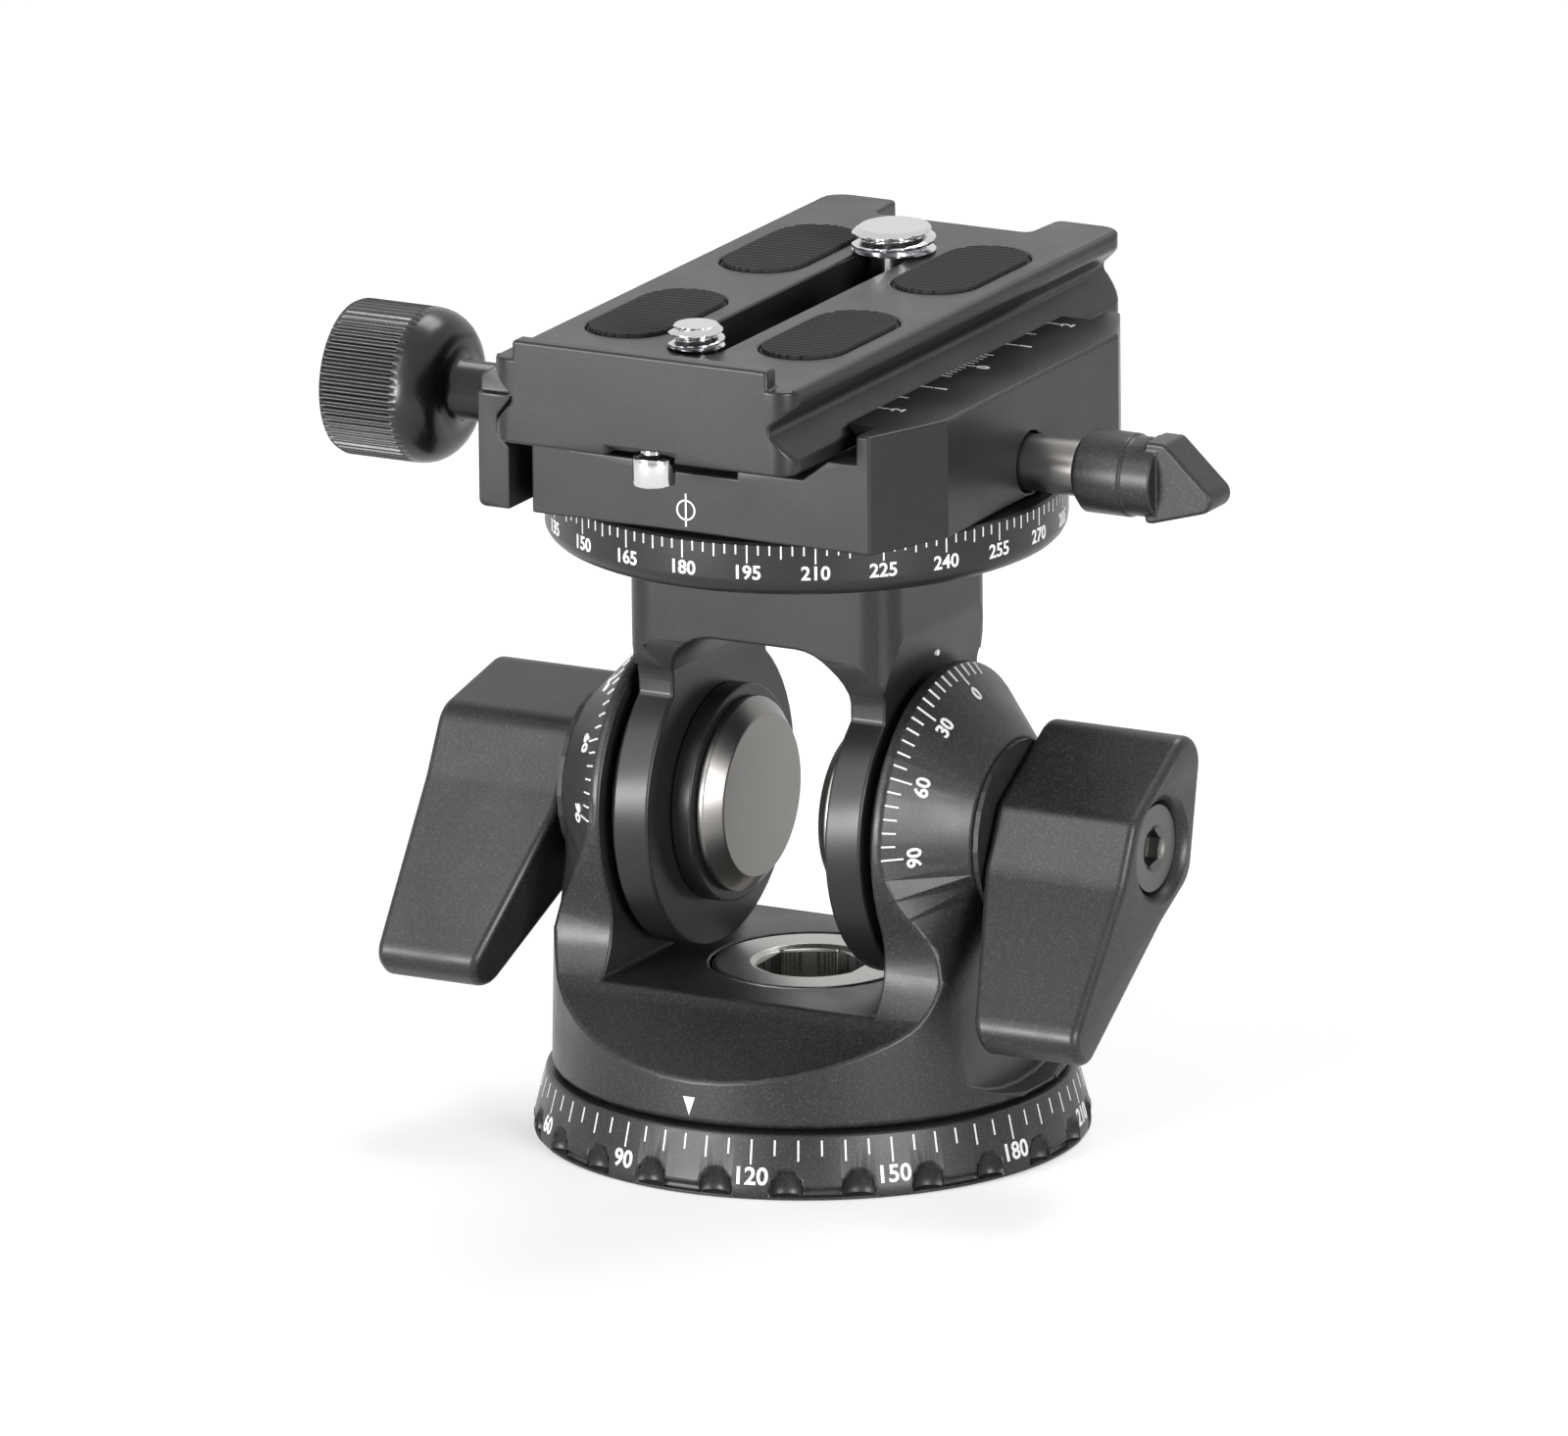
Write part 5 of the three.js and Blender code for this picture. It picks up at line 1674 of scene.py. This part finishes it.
@dataclass
class Plate:
    """The camera plate, its ribbed pads and its stop screw."""

    centre_x: float = -0.4
    edge: float = 0.35
    pad_half_width: float = 5
    pad_half_length: float = 10.9
    pad_offset: float = 10.9
    pad_front: float = -13.8
    pad_rear: float = 17.8
    pad_low: float = 95.7
    pad_body: float = 95.9
    pad_top: float = 96.5
    pad_smooth: float = 30
    rib_pitch: float = 0.66
    rib_width: float = 0.3
    rib_angle: float = 40
    rib_inset: float = 0.25
    stop_y: float = -35
    stop_radius: float = 2.4
    stop_top: float = 86.4
    stop_drop: float = 3.5
    stop_shank: float = 1.5
    stop_length: float = 4.9
    stop_edge: float = 0.35

    def pad(self) -> Mesh:
        """Makes a pad: a base with fine slanting ribs.

        Returns:
            The pad, with its middle on +Z.
        """
        base = prism("pad", stadium(self.pad_half_width, self.pad_half_length), self.pad_low, self.pad_body)
        half = self.rib_width / 2
        reach = self.pad_half_length + self.pad_half_width
        count = math.ceil(reach / self.rib_pitch)
        pattern = prism("pattern", [(reach, -half), (reach, half), (-reach, half), (-reach, -half)],
                        (self.pad_low + self.pad_body) / 2, self.pad_top)
        slant = Matrix.Rotation(math.radians(self.rib_angle), 4, "Z")
        ribs = join("ribs", [put(spare(pattern, "rib"), slant @ at(0, i * self.rib_pitch, 0))
                             for i in range(-count, count + 1)])
        rim = stadium(self.pad_half_width - self.rib_inset, self.pad_half_length - self.rib_inset)
        combine(ribs, Boolean.KEEP, prism("trim", rim, self.pad_low, self.pad_top + self.rib_inset))
        clear_away(pattern)
        return combine(base, Boolean.JOIN, ribs)

    def stop(self) -> Mesh:
        """Turns the stop screw under the front end.

        Returns:
            The screw, on +Z.
        """
        return turned("plate_stop", [
            (self.stop_radius, self.stop_top - self.stop_drop),
            (self.stop_radius, self.stop_top),
            (self.stop_shank, self.stop_top),
            (self.stop_shank, self.stop_top + self.stop_length),
        ])

    def build(self) -> None:
        """Builds the plate, the pads and the stop screw."""
        plate = copy_of("plate", "camera_plate")
        seat(soften(plate, self.edge, 3, CAST_ANGLE, CAST_ANGLE), "quick_plate", SATIN, "plate")
        pad = self.pad()
        for end, y in (("front", self.pad_front), ("rear", self.pad_rear)):
            for side, x in (("left", -self.pad_offset), ("right", self.pad_offset)):
                grip = put(spare(pad, f"{end}_{side}_grip"), at(self.centre_x + x, y, 0))
                seat(soften(grip, 0, smooth=self.pad_smooth), "quick_plate", RUBBER, f"{end}_{side}_pad")
        clear_away(pad)
        stop = put(self.stop(), at(self.centre_x, self.stop_y, 0))
        seat(soften(stop, self.stop_edge), "quick_plate", CHROME, "stop_screw")


@dataclass
class CameraScrew:
    """A captive camera screw with a real thread above the plate."""

    name: str
    body: str
    node: str
    y: float
    radius: float
    pitch: float
    top: float
    neck_radius: float
    slot_width: float
    centre_x: float = -0.4
    head_radius: float = 6.6
    head_from: float = 88.3
    head_to: float = 90.7
    thread_from: float = 96.5
    slot_depth: float = 1.2
    depth_share: float = 0.62
    root_share: float = 0.12
    flank_share: float = 0.7
    thread_share: float = 0.9
    chamfer: float = 0.75
    rings_per_turn: int = 16
    overrun: float = 1
    smooth: float = 35

    def thread(self, screw: Mesh) -> None:
        """Cuts the thread: every ring point moves in by its place on the helix.

        Args:
            screw: The screw, centred on +Z.
        """
        depth = self.depth_share * self.pitch
        for vertex in screw.data.vertices:
            x, y, z = vertex.co / MM
            radius = math.hypot(x, y)
            if z < self.thread_from - WELD or radius < self.radius * self.thread_share:
                continue
            phase = (z / self.pitch - math.atan2(y, x) / math.tau) % 1
            tooth = 1 - abs(2 * phase - 1)
            crest = min(1, max(0, (tooth - self.root_share) / self.flank_share))
            cap = self.radius - max(0, z - (self.top - self.chamfer))
            wanted = min(self.radius - depth * (1 - crest), cap)
            vertex.co = Vector((x * wanted / radius, y * wanted / radius, z)) * MM

    def build(self) -> None:
        """Turns the screw, threads it and cuts its coin slot."""
        rings = math.ceil((self.top - self.thread_from) / self.pitch * self.rings_per_turn)
        step = (self.top - self.thread_from) / rings
        threaded = [(self.radius, self.thread_from + i * step) for i in range(rings + 1)]
        inner = self.radius - self.depth_share * self.pitch - self.chamfer / 2
        screw = turned(self.name, [
            (self.head_radius, self.head_from),
            (self.head_radius, self.head_to),
            (self.neck_radius, self.head_to),
            (self.neck_radius, self.thread_from),
            *threaded,
            (inner, self.top),
        ])
        self.thread(screw)
        far, half = self.head_radius + self.overrun, self.slot_width / 2
        slot = prism("slot", [(far, -half), (far, half), (-far, half), (-far, -half)],
                     self.head_from - self.overrun, self.head_from + self.slot_depth)
        combine(screw, Boolean.CUT, slot)
        put(screw, at(self.centre_x, self.y, 0))
        seat(soften(screw, 0, smooth=self.smooth), self.body, CHROME, self.node)


# Studio


@dataclass
class Studio:
    """Floor, lamps, world and camera.

    Attributes:
        azimuth: The camera stands this far round from -Y towards +X, in degrees.
        elevation: And this far above the horizon, in degrees.
        distance: From the aim to the camera, in mm.
        aim: The point that the photograph's optical axis passes, in mm.
        focal: Focal length in pixels of the photograph.
        optical: Where the optical axis meets the photograph, in pixels.
        roll: The camera's roll, in degrees.
        image: The photograph's size, in pixels.
        floor_lift: How much lighter the floor looks than its colour makes it.
        room_light: How strongly the room lights the object.
        soft_boxes: Name, place, width and height, and power in watts of each lamp.
    """

    azimuth: float = 28.13
    elevation: float = 15.569
    distance: float = 3164.885
    aim: tuple[float, float, float] = (0, 0, 50)
    focal: float = 28768.961
    optical: Point = (824.808, 708.597)
    roll: float = -0.602
    image: tuple[int, int] = (1600, 1465)
    sensor: float = 36
    nearest: float = 100
    farthest: float = 40000
    floor_radius: float = 9000
    floor_sides: int = 64
    floor_drop: float = 0.02
    floor_colour: tuple[float, float, float] = (0.82, 0.82, 0.82)
    floor_lift: float = 0.34
    room_light: float = 0.2
    soft_boxes: tuple[tuple[str, tuple[float, float, float], Point, float], ...] = (
        ("key_box", (-373, -924, 137), (400, 260), 11),
        ("fill_box", (-434, -695, 624), (500, 500), 3),
        ("front_right_box", (853, -492, 224), (400, 400), 9),
        ("top_box", (0, 450, 900), (600, 400), 5),
    )

    def camera(self) -> None:
        """Stands the camera where the photograph was taken."""
        swing, lift = math.radians(self.azimuth), math.radians(self.elevation)
        back = Vector((math.sin(swing) * math.cos(lift), -math.cos(swing) * math.cos(lift), math.sin(lift)))
        place = (Vector(self.aim) + back * self.distance) * MM
        right = (-back).cross(Vector((0, 0, 1))).normalized()
        up = right.cross(-back)
        turn = math.radians(self.roll)
        right, up = (right * math.cos(turn) + up * math.sin(turn),
                     up * math.cos(turn) - right * math.sin(turn))
        across = (self.image[0] / 2 - self.optical[0]) / self.focal
        down = (self.image[1] / 2 - self.optical[1]) / self.focal
        back = (back - right * across + up * down).normalized()
        right = (right - back * right.dot(back)).normalized()
        up = back.cross(right)
        data = bpy.data.cameras.new("camera")
        data.sensor_width = self.sensor
        data.lens = self.focal / self.image[0] * self.sensor
        data.clip_start = self.nearest * MM
        data.clip_end = self.farthest * MM
        camera = bpy.data.objects.new("camera", data)
        camera.matrix_world = Matrix.Translation(place) @ Matrix((right, up, back)).transposed().to_4x4()
        bpy.context.scene.collection.objects.link(camera)
        bpy.context.scene.camera = camera

    def seen(self, bench: NodeBench) -> bpy.types.NodeSocket:
        """Picks the rays that show the background: from the camera, in gloss and through glass.

        Args:
            bench: Where the nodes go.

        Returns:
            The socket of a value that is 1 for such rays and 0 for others.
        """
        path = bench.add("ShaderNodeLightPath")
        share = path.outputs["Is Camera Ray"]
        for kind in ("Is Glossy Ray", "Is Transmission Ray"):
            either = bench.add("ShaderNodeMath", {"operation": "MAXIMUM"})
            bench.tree.links.new(share, either.inputs[0])
            bench.tree.links.new(path.outputs[kind], either.inputs[1])
            share = either.outputs[0]
        return share

    def floor(self) -> None:
        """Lays the pale floor."""
        drop_selection()
        bpy.ops.mesh.primitive_circle_add(
            vertices=self.floor_sides,
            radius=self.floor_radius * MM,
            fill_type="NGON",
            location=(0, 0, -self.floor_drop * MM),
        )
        floor = bpy.context.object
        floor.name = "floor"
        material = bpy.data.materials.new("pale_floor")
        bench = NodeBench(material)
        lift = bench.spread(self.seen(bench), 0, self.floor_lift, 0, 1)
        matt = bench.add("ShaderNodeBsdfDiffuse", Color=(*self.floor_colour, 1))
        glow = bench.add("ShaderNodeEmission", Color=(1, 1, 1, 1), Strength=lift)
        both = bench.add("ShaderNodeAddShader")
        bench.tree.links.new(matt.outputs[0], both.inputs[0])
        bench.tree.links.new(glow.outputs[0], both.inputs[1])
        bench.finish(both)
        floor.data.materials.append(material)

    def world(self) -> None:
        """Lights the room softly and shows white behind."""
        world = bpy.data.worlds.new("room")
        bpy.context.scene.world = world
        bench = NodeBench(world)
        strength = bench.spread(self.seen(bench), self.room_light, 1, 0, 1)
        plain = bench.add("ShaderNodeBackground", Color=(1, 1, 1, 1), Strength=strength)
        bench.finish(plain, "ShaderNodeOutputWorld")

    def lamp(self, name: str, place: Sequence[float], size: Point, power: float) -> None:
        """Hangs one soft box that faces the object.

        Args:
            name: Its name.
            place: Where it hangs, in mm.
            size: Its width and height, in mm.
            power: Its power in watts.
        """
        data = bpy.data.lights.new(name, "AREA")
        data.shape = "RECTANGLE"
        data.size, data.size_y = size[0] * MM, size[1] * MM
        data.energy = power
        lamp = bpy.data.objects.new(name, data)
        spot = Vector(place) * MM
        aim = Vector(self.aim) * MM - spot
        lamp.matrix_world = Matrix.Translation(spot) @ aim.to_track_quat("-Z", "Y").to_matrix().to_4x4()
        bpy.context.scene.collection.objects.link(lamp)

    def build(self) -> None:
        """Sets up the whole studio."""
        self.floor()
        self.world()
        for box in self.soft_boxes:
            self.lamp(*box)
        self.camera()
        bpy.context.scene.view_settings.view_transform = "Standard"


def main() -> None:
    """Builds the studio and every sub-assembly."""
    logging.basicConfig(level=logging.INFO, format="%(name)s: %(message)s")
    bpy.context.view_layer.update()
    Studio().build()
    BaseRing().build()
    BaseBolt().build()
    Housing().build()
    Yoke().build()
    WingKnobs().build()
    PanDisc().build()
    Clamp().build()
    ClampKnob().build()
    PanLock().build()
    Plate().build()
    CameraScrew("large_thread", "large_screw", "large_camera_screw", y=22.3, radius=4.76, pitch=1.5875,
                top=99.2, neck_radius=2.8, slot_width=1.6).build()
    CameraScrew("small_thread", "small_screw", "small_camera_screw", y=-24.7, radius=3.175, pitch=1.27,
                top=98.9, neck_radius=2.3, slot_width=1.3).build()
    PLAIN_STEEL.dress_nodes(["large_screw_washer", "small_screw_washer"])


if __name__ == "__main__":
    main()
